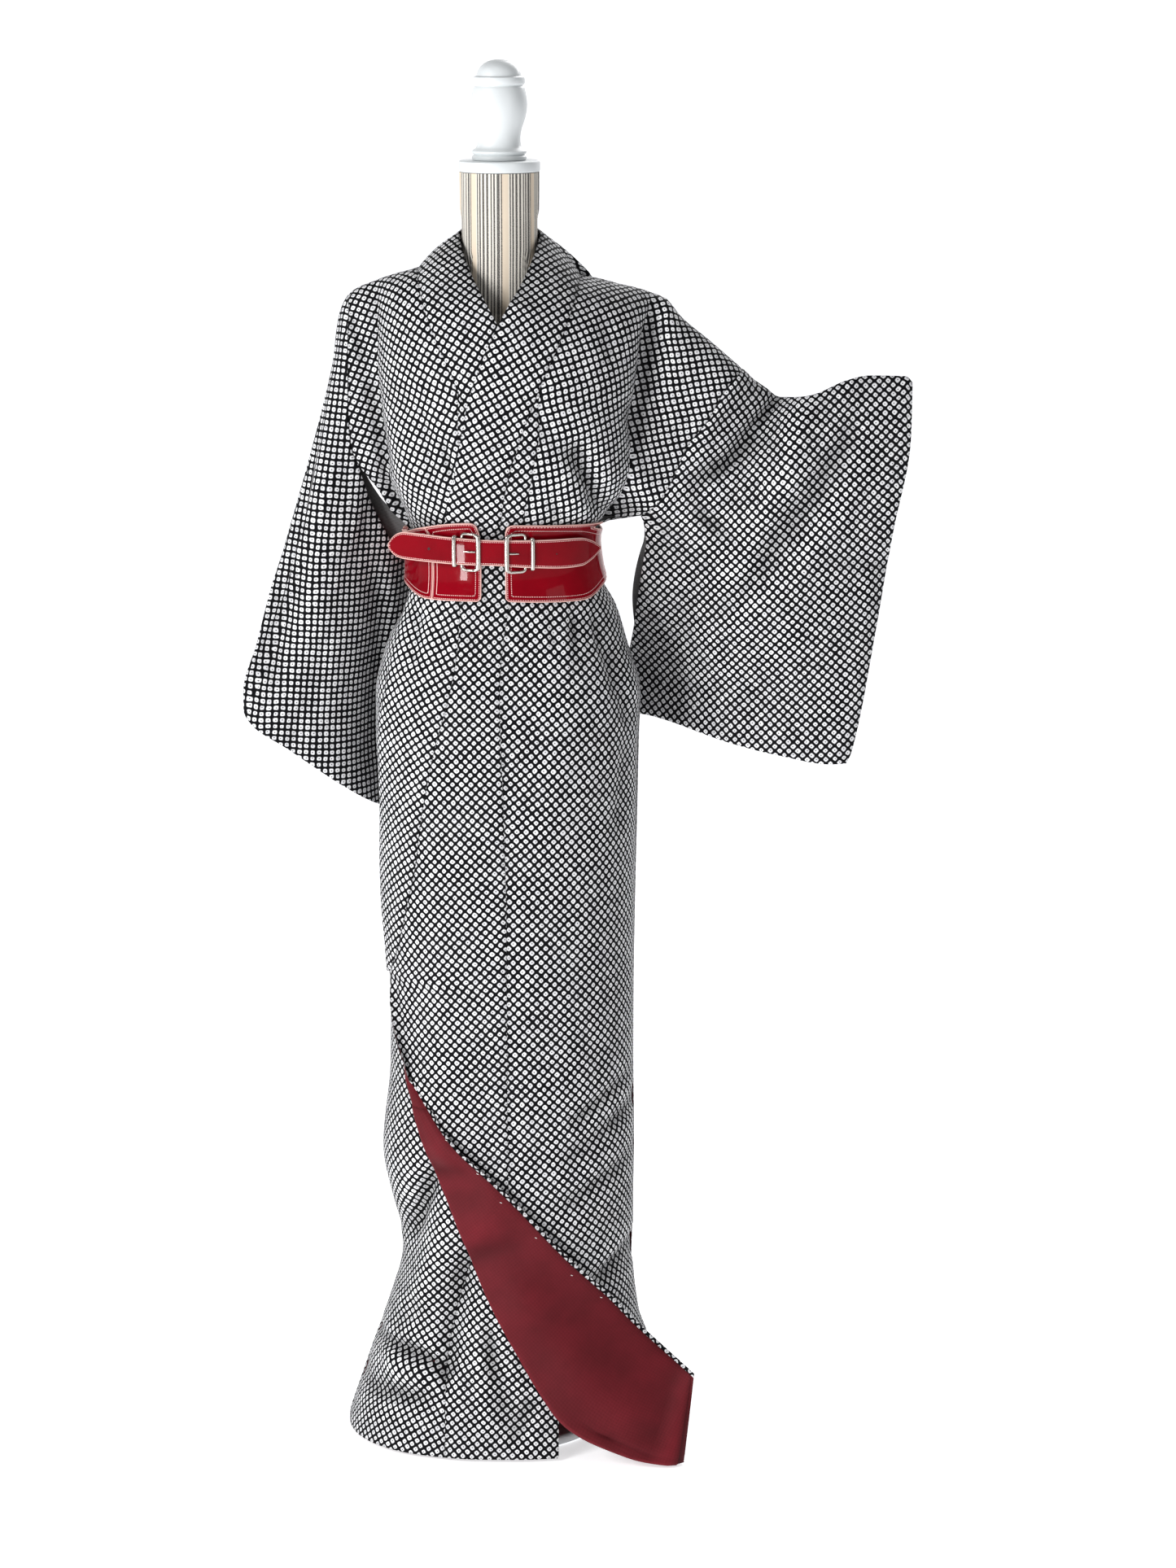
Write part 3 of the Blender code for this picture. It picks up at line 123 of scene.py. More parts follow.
def reachAlong(points, axis):
    steps = np.linalg.norm(np.diff(points, axis=axis), axis=2)
    return np.insert(np.cumsum(steps, axis=axis), 0, 0, axis=axis)


def drawn(at, keys, points):
    columns = points.reshape(len(points), -1).T
    found = np.stack([np.interp(at, keys, column) for column in columns], axis=-1)
    return found.reshape(len(at), *points.shape[1:])


# The garment's surface: an angle round the body from -90 to 90 for the front and the same for
# the back, and a height. Above the chest the height goes on over the arch of the shoulder.
bodySet = {
    "layer": 5.0,
    "chest": 1276.0,
    "arch": 200.0,
    "ridgeY": 5.0,
    "round": 0.85,
    "middle": 4.0,
    "spread": 1.15,
    "wingTurn": 30.0,
    "wingEase": 40.0,
    "edgeTop": 1060.0,
    "beltHolds": (1064.0, 1150.0),
    "foldEase": 26.0,
    "ripple": 0.7,
}
ridge = bodySet["chest"] + bodySet["arch"]
# The body's section at each height: how far it reaches to each side, to the front and back
sections = table(
    ("height", "left", "right", "front", "back"),
    (0, -200, 205, 158, 158), (50, -183, 194, 150, 152), (105, -164, 176, 141, 147),
    (150, -147, 163, 135, 143), (211, -133, 157, 132, 139), (290, -139, 157, 130, 136),
    (364, -151, 158, 128, 135), (473, -141, 157, 126, 134), (546, -140, 157, 125, 134),
    (682, -147, 158, 124, 136), (792, -147, 160, 124, 138), (887, -154, 162, 122, 140),
    (938, -154, 164, 120, 136), (998, -140, 148, 114, 122), (1044, -117, 134, 106, 108),
    (1071, -107, 119, 100, 99), (1100, -105, 112, 98, 94), (1128, -106, 109, 99, 95),
    (1150, -111, 115, 101.5, 97), (1188, -132, 142, 112, 105), (1227, -139, 151, 118, 109),
    (1276, -145, 154, 120, 112),
)

# Where front and back part at the sides above the belt, and half the gap between them
edges = table(
    ("height", "left", "leftHalf", "right", "rightHalf"),
    (1060, -110, 0.2, 125, 0.2), (1100, -105, 2.0, 112, 2.0), (1128, -106, 4.0, 109, 3.0),
    (1148, -118, 6.0, 112, 3.0), (1158, -130, 7.0, 168, 8.0), (1188, -148, 9.0, 198, 20.0),
    (1212, -166, 16.0, 210, 24.0), (1240, -178, 22.0, 222, 26.0), (1276, -181, 24.0, 250, 26.0),
)

# The ridge of the shoulders
ridgeHeights = table(
    ("x", "height"),
    (-200, 1396), (-191, 1404), (-179, 1422), (-150, 1436), (-99, 1452), (-50, 1464), (0, 1470),
    (50, 1458), (97, 1439), (132, 1430), (195, 1412), (212, 1391), (249, 1360), (288, 1327),
    (300, 1318),
)

# Large folds: top, foot, half width and depth, which is negative for a trough
folds = {
    "front": (
        (182, 1400, 168, 1240, 16, -9), (90, 1262, 122, 1165, 16, -7),
        (148, 1225, 190, 1165, 14, 5), (-120, 1330, -70, 1190, 22, -4),
        (112, 1062, 150, 905, 13, -4.5), (86, 1056, 96, 985, 11, -3.5),
        (165, 440, 70, 372, 14, -4), (170, 232, 95, 214, 14, -5), (-78, 372, -136, 205, 20, -8),
        (-36, 262, -72, 92, 20, -8), (-182, 62, -92, 80, 13, -6), (-14, 200, -4, 70, 16, 6),
        (-110, 190, -150, 110, 18, 6),
    ),
    "back": (
        (-60, 1262, -96, 1165, 18, -6), (58, 1280, 92, 1165, 18, -7),
        (-92, 1060, -120, 880, 16, -5), (78, 1060, 104, 850, 16, -5),
        (-60, 620, -96, 20, 26, -7), (70, 560, 112, 20, 26, -7), (10, 420, 24, 20, 24, 6),
    ),
}

# The collar: its seam and edge in front, where it stands away, and its run round the neck
collarSeam = table(
    ("z", "x"),
    (600, -138), (640, -126), (690, -115), (740, -104), (800, -96), (887, -79), (960, -59),
    (1020, -49), (1058, -47), (1090, -41), (1125, -20), (1158, 1), (1190, 6), (1220, 12),
    (1250, 22), (1280, 32), (1307, 43), (1334, 54), (1361, 67), (1388, 79), (1415, 89),
    (1443, 97),
)

collarEdge = table(
    ("seamZ", "x", "z"),
    (600, -143, 596), (640, -146, 640), (690, -150, 690), (740, -151, 740), (800, -150, 800),
    (887, -150, 887), (960, -139, 960), (1020, -125, 1020), (1058, -114, 1055),
    (1090, -103, 1085), (1125, -84, 1120), (1158, -66, 1155), (1190, -60, 1190),
    (1220, -52, 1222), (1250, -44, 1262), (1280, -35, 1306), (1307, -24, 1338),
    (1334, -12, 1368), (1361, 2, 1396), (1388, 16, 1421),
)

collarStand = table(
    ("height", "x", "y", "z"),
    (1350, 13, -92, 1415), (1372, 22, -80, 1430), (1404, 35, -56, 1454), (1442, 46, -26, 1479),
    (1476, 50, 0, 1494),
)

neckLine = table(
    ("turn", "seamX", "x", "y", "z"),
    (54, 0, 0, 54, 1505), (63, 50, 25, 47, 1503), (75, 80, 43, 28, 1499), (90, 97, 50, 0, 1494),
)

# Seams between the body panels and the overlaps, and the overlaps' free edges
okumiSeams = {
    1: table(
        ("z", "x"),
        (0, 206), (3, 200), (40, 172), (108, 120), (190, 66), (262, 30), (344, 8), (473, 7),
        (664, 7), (815, 4), (954, 0), (1014, 4), (1072, 14), (1128, 22), (1177, 31), (1232, 42),
        (1270, 48), (1300, 47), (1318, 49),
    ),
    -1: table(
        ("z", "x"),
        (0, -72), (100, -71), (180, -58), (247, -40), (344, -24), (473, -14), (664, -8),
        (954, -4), (1072, -14), (1128, -22), (1177, -31), (1232, -42), (1270, -48), (1300, -47),
        (1318, -49),
    ),
}

innerEdge = table(("z", "x"), (0, 69), (60, 69), (120, 74), (250, 94), (400, 118), (600, 138))

outerEdge = table(("z", "x"), (473, -114), (500, -115), (530, -119), (565, -126), (600, -142))

# The turned-back corner: how far its fold stands off the skirt, and the fold and the edge
foldLine = table(
    ("z", "x", "stand"),
    (4, 206, 58), (14, 162, 44), (36, 108, 30), (63, 69, 20), (106, 39, 13), (170, 6, 8),
    (216, -17, 6), (284, -45, 4), (350, -70, 2), (399, -92, 1), (473, -118, 0),
)

corner = table(
    ("height", "foldX", "foldZ", "edgeX", "edgeY", "edgeZ"),
    (3, 203, 1, 236, -142, 110), (35, 163, 12, 214, -128, 126), (68, 100, 40, 190, -123, 147),
    (100, 73, 60, 172, -122, 164), (135, 47, 96, 150, -122, 187), (170, 24, 136, 134, -124, 205),
    (210, 4, 173, 115, -128, 224), (250, -17, 216, 86, -136, 254),
    (295, -39, 270, 44, -146, 303), (350, -64, 335, -2, -147, 352),
    (410, -93, 402, -58, -136, 403), (473, -114, 473, -109, -93, 473),
)

# The four sides of each sleeve, by the share gone along them, and how thick it hangs
sleeves = {
    1: {
        "top": table(
            ("s", "x", "y", "z"),
            (0.0, 290, 5, 1327), (0.14, 318, 16, 1307), (0.26, 337, 24, 1294),
            (0.36, 361, 6, 1297), (0.46, 379, -4, 1302), (0.62, 415, -6, 1318),
            (0.72, 440, -2, 1323), (0.95, 486, 0, 1322), (1.0, 494, 0, 1315),
        ),
        "cuff": table(
            ("t", "x", "y", "z"),
            (0.0, 494, 0, 1315), (0.14, 492, -4, 1247), (0.37, 473, -6, 1138),
            (0.65, 454, 0, 1008), (0.96, 428, 4, 862), (1.0, 422, 4, 848),
        ),
        "bottom": table(
            ("s", "x", "y", "z"),
            (0.0, 138, 122, 885), (0.14, 172, 92, 893), (0.48, 282, 26, 869),
            (0.66, 332, 8, 859), (0.92, 402, 0, 848), (1.0, 422, 4, 848),
        ),
        "seam": table(
            ("t", "x", "y", "z"),
            (0.0, 290, 5, 1327), (0.08, 255, 3, 1292), (0.2, 230, 2, 1252), (0.34, 203, 4, 1192),
            (0.44, 186, 7, 1152), (0.5, 178, 12, 1127), (0.62, 169, 36, 1063),
            (0.76, 162, 76, 998), (0.88, 152, 110, 942), (1.0, 138, 122, 885),
        ),
        "half": 14.0,
        "cuffOpen": 0.47,
        "cuffHalf": 12.0,
    },
    -1: {
        "top": table(
            ("s", "x", "y", "z"),
            (0.0, -182, 5, 1419), (0.05, -190, 4, 1403), (0.18, -198, 0, 1352),
            (0.31, -208, 0, 1306), (0.53, -228, 0, 1225), (0.78, -254, 0, 1140),
            (1.0, -279, 0, 1069),
        ),
        "cuff": table(
            ("t", "x", "y", "z"),
            (0.0, -279, 0, 1069), (0.16, -298, 5, 998), (0.3, -315, 5, 938),
            (0.34, -315, 2, 918), (0.39, -304, 0, 897), (0.48, -271, 2, 872),
            (0.63, -217, 12, 831), (0.78, -168, 48, 792), (1.0, -140, 100, 770),
        ),
        "bottom": table(
            ("s", "x", "y", "z"),
            (0.0, -120, 150, 890), (0.5, -150, 150, 822), (1.0, -140, 100, 770),
        ),
        "seam": table(
            ("t", "x", "y", "z"),
            (0.0, -182, 5, 1419), (0.14, -182, 2, 1350), (0.3, -182, 2, 1276),
            (0.4, -176, 4, 1220), (0.49, -162, 8, 1180), (0.6, -140, 26, 1127),
            (0.74, -116, 84, 1060), (0.86, -114, 124, 1000), (1.0, -120, 150, 890),
        ),
        "half": 20.0,
        "cuffOpen": 0.5,
        "cuffHalf": 13.0,
    },
}

sleeveFolds = {
    1: (
        (337, 1296, 237, 1195, 16, 9), (415, 1272, 300, 1085, 20, 7),
        (450, 1085, 446, 900, 20, -4), (372, 1290, 330, 1180, 16, -7),
    ),
    -1: (
        (-212, 1240, -240, 1000, 14, -6), (-160, 1127, -170, 800, 14, 8),
        (-262, 1090, -282, 930, 14, 6),
    ),
}

# Edges of the belt by the angle and of the strap by its place across
beltEdge = table(
    ("angle", "foot", "top"),
    (-90, 1079, 1141), (-72, 1076, 1143), (-45, 1066, 1153), (-12, 1067, 1163), (0, 1067, 1161),
    (12, 1066, 1160), (45, 1064, 1156), (72, 1076, 1146), (90, 1080, 1141),
)

strapLine = table(
    ("x", "foot", "top"),
    (-132, 1127, 1131.5), (-130, 1124, 1135), (-126, 1119.5, 1140.5), (-120, 1116, 1145),
    (-113, 1114.5, 1147), (-85, 1113.5, 1146), (-50, 1113, 1144.5), (-12, 1112.5, 1143),
    (40, 1109.5, 1142.5), (83, 1107, 1142), (97, 1107.5, 1141), (108, 1113, 1136),
    (118, 1122.5, 1126.5),
)

# Heights on the front: the turned-back corner's top, the foot of its seam and the collar's foot
cornerSet = {"top": 473.0, "hemSeam": 40.0, "hemAngle": 60.0, "collarFoot": 600.0}
okumiTop = bodySet["chest"] + bodySet["arch"] * 10 / 90 + 0.5

# Heights that all the cloth pieces share, so that their seams meet, and turns over the shoulder
levels = [3, 7, 35, 68, 100, 135, 170, 210, 250, 295, 350, 410, 445, 473, 500, 530, 565, 600]
levels += [640, 690, 740, 800, 887, 960, 1020, 1058, 1090, 1125, 1146, 1158, 1190, 1220, 1250]
levels += [1276]
frontTurns = (10, 20, 32, 44, 58, 75, 90)
backTurns = (89, 82, 75, 63, 54, 36, 18)

clothSet = {
    "thick": 1.1,
    "pitch": 7.0,
    "columns": 46,
    "overlapColumns": 30,
    "seam": 0.12,
    "backSeam": 0.06,
}

# Creases that the photo shows besides the large folds: face, top, foot, half width and depth
creases = {
    "front": (
        (85, 1062, 92, 1012, 6, -4.8), (98, 1062, 106, 1002, 5, -3.8),
        (108, 1062, 120, 1000, 6, -5.1), (124, 1010, 145, 945, 8, -5.4),
        (147, 955, 153, 905, 7, -4.8), (150, 905, 139, 776, 9, -4.2),
        (60, 1058, 64, 1008, 5, -2.9), (30, 1058, 28, 1015, 5, -2.2),
        (-30, 1058, -34, 1010, 6, -2.6), (-62, 1058, -70, 1000, 7, -3.5),
        (-92, 1058, -104, 985, 8, -4.5), (155, 471, 83, 422, 9, -6.4),
        (157, 424, 128, 410, 7, -4.8), (-69, 1262, -57, 1210, 7, -6.4),
        (184, 1418, 166, 1281, 9, -4.8), (84, 1262, 124, 1166, 8, -5.8),
        (121, 1400, 130, 1345, 9, -3.5), (150, 1300, 176, 1200, 10, -4.2),
        (106, 1192, 120, 1160, 6, -3.2), (60, 1196, 70, 1162, 7, -3.2),
        (-180, 1409, -158, 1334, 8, -5.1), (-158, 1336, -134, 1199, 9, -5.8),
        (-134, 1202, -112, 1150, 8, -4.5), (-92, 1300, -84, 1200, 10, -3.2),
        (-15, 190, -12, 92, 9, -6), (37, 83, 11, 22, 12, -6), (-99, 190, -140, 136, 10, -5),
        (160, 253, 118, 222, 9, -7), (160, 369, 72, 319, 10, -5), (-78, 379, -125, 255, 9, -5),
        (-30, 140, -20, 30, 10, 4),
    ),
    "back": (
        (-30, 1060, -36, 990, 8, -4.2), (32, 1060, 40, 985, 8, -3.8),
        (-66, 1060, -80, 960, 9, -4.8), (60, 1060, 66, 970, 9, -4.2),
        (112, 1060, 140, 930, 9, -4.8), (-20, 1210, -44, 1160, 9, -4.2),
        (18, 1214, 30, 1160, 9, -3.8), (-120, 1380, -150, 1250, 12, -4.8),
        (150, 1390, 176, 1250, 12, -5.1), (-110, 520, -140, 60, 12, -6.4),
        (-14, 430, -30, 10, 12, -5.8), (118, 480, 160, 30, 12, -6.7),
        (40, 700, 44, 300, 14, -3.8), (-130, 900, -120, 640, 12, -3.5),
    ),
}

# Bent creases: half width, and places with the depth there
bentCreases = {
    "front": (
        (8, ((-166, 114, 0), (-156, 122, 5), (-145, 126, 9), (-120, 127, 10), (-98, 123, 10),
             (-80, 110, 8), (-72, 96, 5), (-74, 82, 3), (-84, 66, 0))),
        (18, ((-156, 98, 0), (-136, 100, -8), (-104, 95, -8), (-88, 86, 0))),
        (13, ((-74, 396, 0), (-84, 366, 5), (-98, 340, 9), (-117, 292, 10), (-127, 266, 5),
              (-136, 250, 0))),
        (14, ((-28, 296, 0), (-34, 270, 6), (-55, 222, 10), (-70, 155, 9), (-72, 110, 8),
              (-78, 86, 0))),
        (20, ((-50, 330, 0), (-74, 270, -7), (-100, 200, -8), (-110, 160, 0))),
        (12, ((-22, 180, 0), (-10, 130, 6), (4, 70, 6), (8, 44, 0))),
        (8, ((20, 1330, 0), (60, 1262, 3), (108, 1210, 4), (128, 1166, 0))),
    ),
    "back": (
        (12, ((-60, 900, 0), (-70, 760, 3), (-64, 600, 4), (-76, 420, 0))),
        (14, ((66, 560, 0), (80, 380, 5), (74, 200, 6), (88, 40, 0))),
        (9, ((-40, 1330, 0), (-60, 1270, 4), (-52, 1200, 4), (-64, 1160, 0))),
    ),
}


def softMax(a, b, softness):
    return (a + b + np.sqrt((a - b) ** 2 + 4 * softness**2)) / 2


def sectionPoint(angle, height, back, parted=True):
    angle, height = together(angle, height)
    right = angle > 0
    middle = bodySet["middle"]
    reach = np.where(right, sections["right"](height), sections["left"](height)) - middle
    depth = sections["back" if back else "front"](height)
    edge = np.where(right, edges["right"](height), edges["left"](height)) - middle
    edge = np.where(height > bodySet["edgeTop"], edge, reach)
    half = np.where(right, edges["rightHalf"](height), edges["leftHalf"](height))
    bodyTurn = 90 - bodySet["wingTurn"] * smooth((abs(edge) - abs(reach)) / bodySet["wingEase"])
    turned = np.minimum(abs(angle) / bodyTurn, 1) * math.pi / 2
    x = reach * np.sin(turned) ** bodySet["round"]
    y = depth * np.maximum(np.cos(turned), 0) ** bodySet["round"]
    past = np.maximum(abs(angle) - bodyTurn, 0) / np.maximum(90 - bodyTurn, 1e-6)
    x = np.where(past > 0, mix(reach, edge, past), x)
    if parted:
        y = softMax(y, half, half / 4)
    return stack(middle + x, y if back else -y, height)


# How far a height has gone up over the arch of the shoulder, and how far inwards, from 0 to 1
def archShares(height):
    turn = np.clip((height - bodySet["chest"]) / bodySet["arch"], 0, 1) * math.pi / 2
    power = bodySet["round"]
    return np.sin(turn) ** power, np.maximum(np.cos(turn), 0) ** power


def basePoint(angle, height, back, parted=True):
    angle, height = together(angle, height)
    chest = bodySet["chest"]
    low = sectionPoint(angle, np.minimum(height, chest), back, parted)
    rise, run = archShares(height)
    x = low[..., 0] * (1 + (bodySet["spread"] - 1) * rise * smooth(low[..., 0] / 100))
    top = ridgeHeights["height"](x)
    high = stack(x, mix(bodySet["ridgeY"], low[..., 1], run), mix(chest, top, rise))
    return np.where((height > chest)[..., None], high, low)


def outward(angle, height, back):
    angle, height = together(angle, height)
    lowAngle, highAngle = np.maximum(angle - 0.4, -90), np.minimum(angle + 0.4, 90)
    lowLevel, highLevel = height - 0.8, np.minimum(height + 0.8, ridge)
    smoothAcross, partedAcross = (
        basePoint(highAngle, height, back, parted) - basePoint(lowAngle, height, back, parted)
        for parted in (False, True)
    )
    across = np.where((height > bodySet["chest"])[..., None], partedAcross, smoothAcross)
    along = basePoint(angle, highLevel, back) - basePoint(angle, lowLevel, back)
    return unit(np.cross(across, along)) * (-1 if back else 1)


# The depth of straight folds. Each has its top, foot, half width and depth, and fades out
# over its ends.
def straightDepth(x, z, lines, past, ease):
    total = np.zeros(np.broadcast(x, z).shape)
    for topX, topZ, footX, footZ, width, depth in lines:
        runX, runZ = footX - topX, footZ - topZ
        length = math.hypot(runX, runZ)
        along = ((x - topX) * runX + (z - topZ) * runZ) / length**2
        aside = ((x - topX) * runZ - (z - topZ) * runX) / length
        ends = smooth((along + past) / ease) * smooth((1 + past - along) / ease)
        total = total + depth * ends * np.exp(-((aside / width) ** 2))
    return total


def foldDepth(x, z, back):
    (low, high), ease = bodySet["beltHolds"], bodySet["foldEase"]
    face = "back" if back else "front"
    clear = smooth((low - z) / ease) + smooth((z - high) / ease)
    total = straightDepth(x, z, folds[face] + creases[face], 0.1, 0.35)
    return total * clear + ripple(x, z, back) - bentDepth(x, z, bentCreases[face])


# Creases along bent lines: each has its half width and points with the depth there
def bentDepth(x, z, lines):
    total = np.zeros(np.broadcast(x, z).shape)
    for width, places in lines:
        nearest, deep = np.full(total.shape, np.inf), np.zeros(total.shape)
        for (startX, startZ, startDeep), (endX, endZ, endDeep) in zip(places, places[1:]):
            runX, runZ = endX - startX, endZ - startZ
            along = ((x - startX) * runX + (z - startZ) * runZ) / (runX**2 + runZ**2)
            along = np.clip(along, 0, 1)
            away = np.hypot(x - startX - along * runX, z - startZ - along * runZ)
            deep = np.where(away < nearest, mix(startDeep, endDeep, along), deep)
            nearest = np.minimum(nearest, away)
        total = total + deep * np.exp(-((nearest / width) ** 2))
    return total


# A slight unevenness of hanging silk, in long upright waves
def ripple(x, z, back):
    shift = 1.7 if back else 0.0
    wave = np.sin(x / 19 + 0.8 * np.sin(z / 140 + shift) + shift) * np.sin(z / 230 + x / 90)
    wave = wave + 0.6 * np.sin(x / 11 - z / 260 + 2 * shift) * np.sin(z / 120 + 1)
    return bodySet["ripple"] * wave * (smooth((1040 - z) / 60) + 0.7 * smooth((z - 1170) / 40))


def skin(angle, height, back, offset):
    base = basePoint(angle, height, back)
    push = offset + foldDepth(base[..., 0], base[..., 2], back)
    return base + outward(angle, height, back) * np.asarray(push)[..., None]


def bisected(reaches, x, count=22):
    x = np.asarray(x, float)
    low, high = np.full(x.shape, -90.0), np.full(x.shape, 90.0)
    for _ in range(count):
        angle = (low + high) / 2
        short = reaches(angle) < x
        low, high = np.where(short, angle, low), np.where(short, high, angle)
    return angle


def angleAt(x, height, offset):
    def reaches(angle):
        return basePoint(angle, height, False)[..., 0] + offset * np.sin(np.radians(angle))

    return bisected(reaches, x)


def archHeight(x, z):
    chest = bodySet["chest"]
    rise = np.clip((z - chest) / (ridgeHeights["height"](x) - chest), 0, 1)
    turn = np.arcsin(rise ** (1 / bodySet["round"])) / (math.pi / 2)
    return np.where(z > chest, chest + bodySet["arch"] * turn, z)


def frontZ(height, x):
    chest = bodySet["chest"]
    over = mix(chest, ridgeHeights["height"](x), archShares(height)[0])
    return np.where(height <= chest, height, over)


foldLevels = np.linspace(0, 473, 160)
foldAngles = angleAt(
    foldLine["x"](foldLevels), foldLevels, bodySet["layer"] + foldLine["stand"](foldLevels)
)


# How far the wearer's left front stands off the layer below, above and beside its fold
def standOff(angle, height):
    stand = foldLine["stand"](height)
    foldAngle = np.interp(height, foldLevels, foldAngles)
    share = np.minimum(1, (90 - angle) / (90 - foldAngle))
    return np.where(height < cornerSet["top"], stand * share**2, 0)


def frontPoint(side, angle, height, sink=0.0):
    angle, height = together(angle, height)
    if side < 0:
        return skin(angle, height, False, -sink)
    point = skin(angle, height, False, bodySet["layer"] - sink)
    level = outward(angle, height, False) * (1, 1, 0)
    return point + unit(level) * standOff(angle, height)[..., None]


def frontAngle(side, x, height):
    return bisected(lambda angle: frontPoint(side, angle, height)[..., 0], x, 18)


def backOffset(angle):
    return bodySet["layer"] * (0.5 + 0.5 * np.sin(np.radians(angle)))


def collarSeamX(side, height):
    x = np.full(np.shape(height), side * 60.0)
    for _ in range(6):
        x = side * collarSeam["x"](frontZ(height, x))
    return x


def bodySeamX(side, height):
    overlap = okumiSeams[side]["x"](frontZ(height, side * 48.0))
    return np.where(height > okumiTop, collarSeamX(side, height), overlap)


def seamAngle(side, height, gap):
    x = bodySeamX(side, height) + side * gap
    angle = frontAngle(side, x, height)
    if side < 0:
        return angle
    hem = cornerSet["hemSeam"]
    top = float(frontAngle(1, okumiSeams[1]["x"](hem) + gap, hem))
    low = mix(cornerSet["hemAngle"] + gap / 3, top, height / hem)
    return np.where(height >= hem, angle, low)


# Rows between the levels of the pattern, each span cut into steps no longer than the pitch
def refined(levels, pitch):
    rows = [levels[0]]
    for low, high in zip(levels, levels[1:]):
        count = max(1, math.ceil(abs(high - low) / pitch))
        rows += [mix(low, high, step / count) for step in range(1, count + 1)]
    return np.array(rows, float)


def archLevels(turns):
    return [bodySet["chest"] + bodySet["arch"] * turn / 90 for turn in turns]


# Flat places for a sheet's grid of points: it is laid flat triangle by triangle, keeping each
# triangle's shape as nearly as the cloth's curves allow.
def laidFlat(points, step=(6, 4), rounds=60):
    rows = np.unique(np.r_[np.arange(0, len(points) - 1, step[0]), len(points) - 1])
    columns = np.unique(np.r_[np.arange(0, points.shape[1] - 1, step[1]), points.shape[1] - 1])
    coarse = points[np.ix_(rows, columns)]
    n, m = coarse.shape[:2]
    down = np.linalg.norm(np.diff(coarse, axis=0), axis=2).mean(axis=1)
    flat = (reachAlong(coarse, 1) + 1j * np.r_[0, np.cumsum(down)][:, None]).ravel()
    index = np.arange(n * m).reshape(n, m)
    a, b, c, d = index[:-1, :-1], index[:-1, 1:], index[1:, 1:], index[1:, :-1]
    halves = [np.stack(corners, -1).reshape(-1, 3) for corners in ((a, b, c), (a, c, d))]
    triangles = np.concatenate(halves)
    corners = coarse.reshape(-1, 3)[triangles]
    edgeOne, edgeTwo = corners[:, 1] - corners[:, 0], corners[:, 2] - corners[:, 0]
    length = np.linalg.norm(edgeOne, axis=1)
    along = (edgeOne * edgeTwo).sum(1) / length
    tall = np.linalg.norm(np.cross(edgeOne, edgeTwo), axis=1) / length
    shape = np.stack([np.zeros(len(length)), length, along + 1j * tall], axis=1)
    solve = np.zeros((n * m, n * m))
    pairs = []
    for k in range(3):
        i, j = (k + 1) % 3, (k + 2) % 3
        first, second = shape[:, i] - shape[:, k], shape[:, j] - shape[:, k]
        weight = np.maximum((first * second.conj()).real / (2 * abs(tall * length)), 0.02)
        p, q = triangles[:, i], triangles[:, j]
        for row, column, sign in ((p, p, 1), (q, q, 1), (p, q, -1), (q, p, -1)):
            np.add.at(solve, (row, column), sign * weight)
        pairs.append((p, q, weight, shape[:, i] - shape[:, j]))
    solve[0, 0] += 1
    solve = np.linalg.inv(solve)
    for _ in range(rounds):
        turn = sum(w * (flat[p] - flat[q]) * kept.conj() for p, q, w, kept in pairs)
        turn = turn / np.maximum(abs(turn), 1e-12)
        pull = np.zeros(n * m, complex)
        pull[0] = flat[0]
        for p, q, w, kept in pairs:
            np.add.at(pull, p, w * turn * kept)
            np.add.at(pull, q, -w * turn * kept)
        flat = solve @ pull
    flat = flat.reshape(n, m)
    # back to the fine grid, first down the columns and then along the rows
    far = reachAlong(points[:, columns], 0)
    tall = np.stack([np.interp(far[:, j], far[rows, j], flat[:, j]) for j in range(m)], axis=1)
    return np.stack([np.interp(g, g[columns], row) for g, row in zip(reachAlong(points, 1), tall)])


def linked(name, data):
    piece = bpy.data.objects.new(name, data)
    bpy.context.scene.collection.objects.link(piece)
    return piece


def selectOnly(*pieces):
    bpy.ops.object.select_all(action="DESELECT")
    for piece in pieces:
        piece.select_set(True)
    bpy.context.view_layer.objects.active = pieces[0]


# Every face turned outwards; work is a step to take before that, with all of it selected
def facedOut(piece, work=None):
    selectOnly(piece)
    bpy.ops.object.mode_set(mode="EDIT")
    bpy.ops.mesh.select_all(action="SELECT")
    if work:
        work()
    bpy.ops.mesh.normals_make_consistent(inside=False)
    bpy.ops.object.mode_set(mode="OBJECT")


def dress(piece, slotName, *nodes):
    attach(piece, "root")
    if nodes:
        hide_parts(*nodes)
    return piece


# Meshes. A sheet is a closed wall between its outer and its inner face, with a rim: the rim's
# outer half is the cloth and its inner half the lining.
def makePiece(name, points, faces, materials, slots=None, uv=None, values=None, smoothing=50):
    mesh = bpy.data.meshes.new(name)
    points = np.asarray(points, float) / 1000
    mesh.from_pydata(points.tolist(), [], faces)
    for material in materials:
        mesh.materials.append(material)
    if slots is not None:
        mesh.polygons.foreach_set("material_index", np.asarray(slots, np.int32))
    corners = np.zeros(len(mesh.loops), np.int32)
    mesh.loops.foreach_get("vertex_index", corners)
    layer = mesh.uv_layers.new(name="cut")
    layer.data.foreach_set("uv", np.asarray(uv, float)[corners].ravel())
    for key, numbers in (values or {}).items():
        layer = mesh.attributes.new(key, "FLOAT", "POINT")
        layer.data.foreach_set("value", np.asarray(numbers, np.float32).ravel())
    piece = linked(name, mesh)
    facedOut(piece)
    bpy.ops.object.shade_smooth_by_angle(angle=math.radians(smoothing))
    return piece


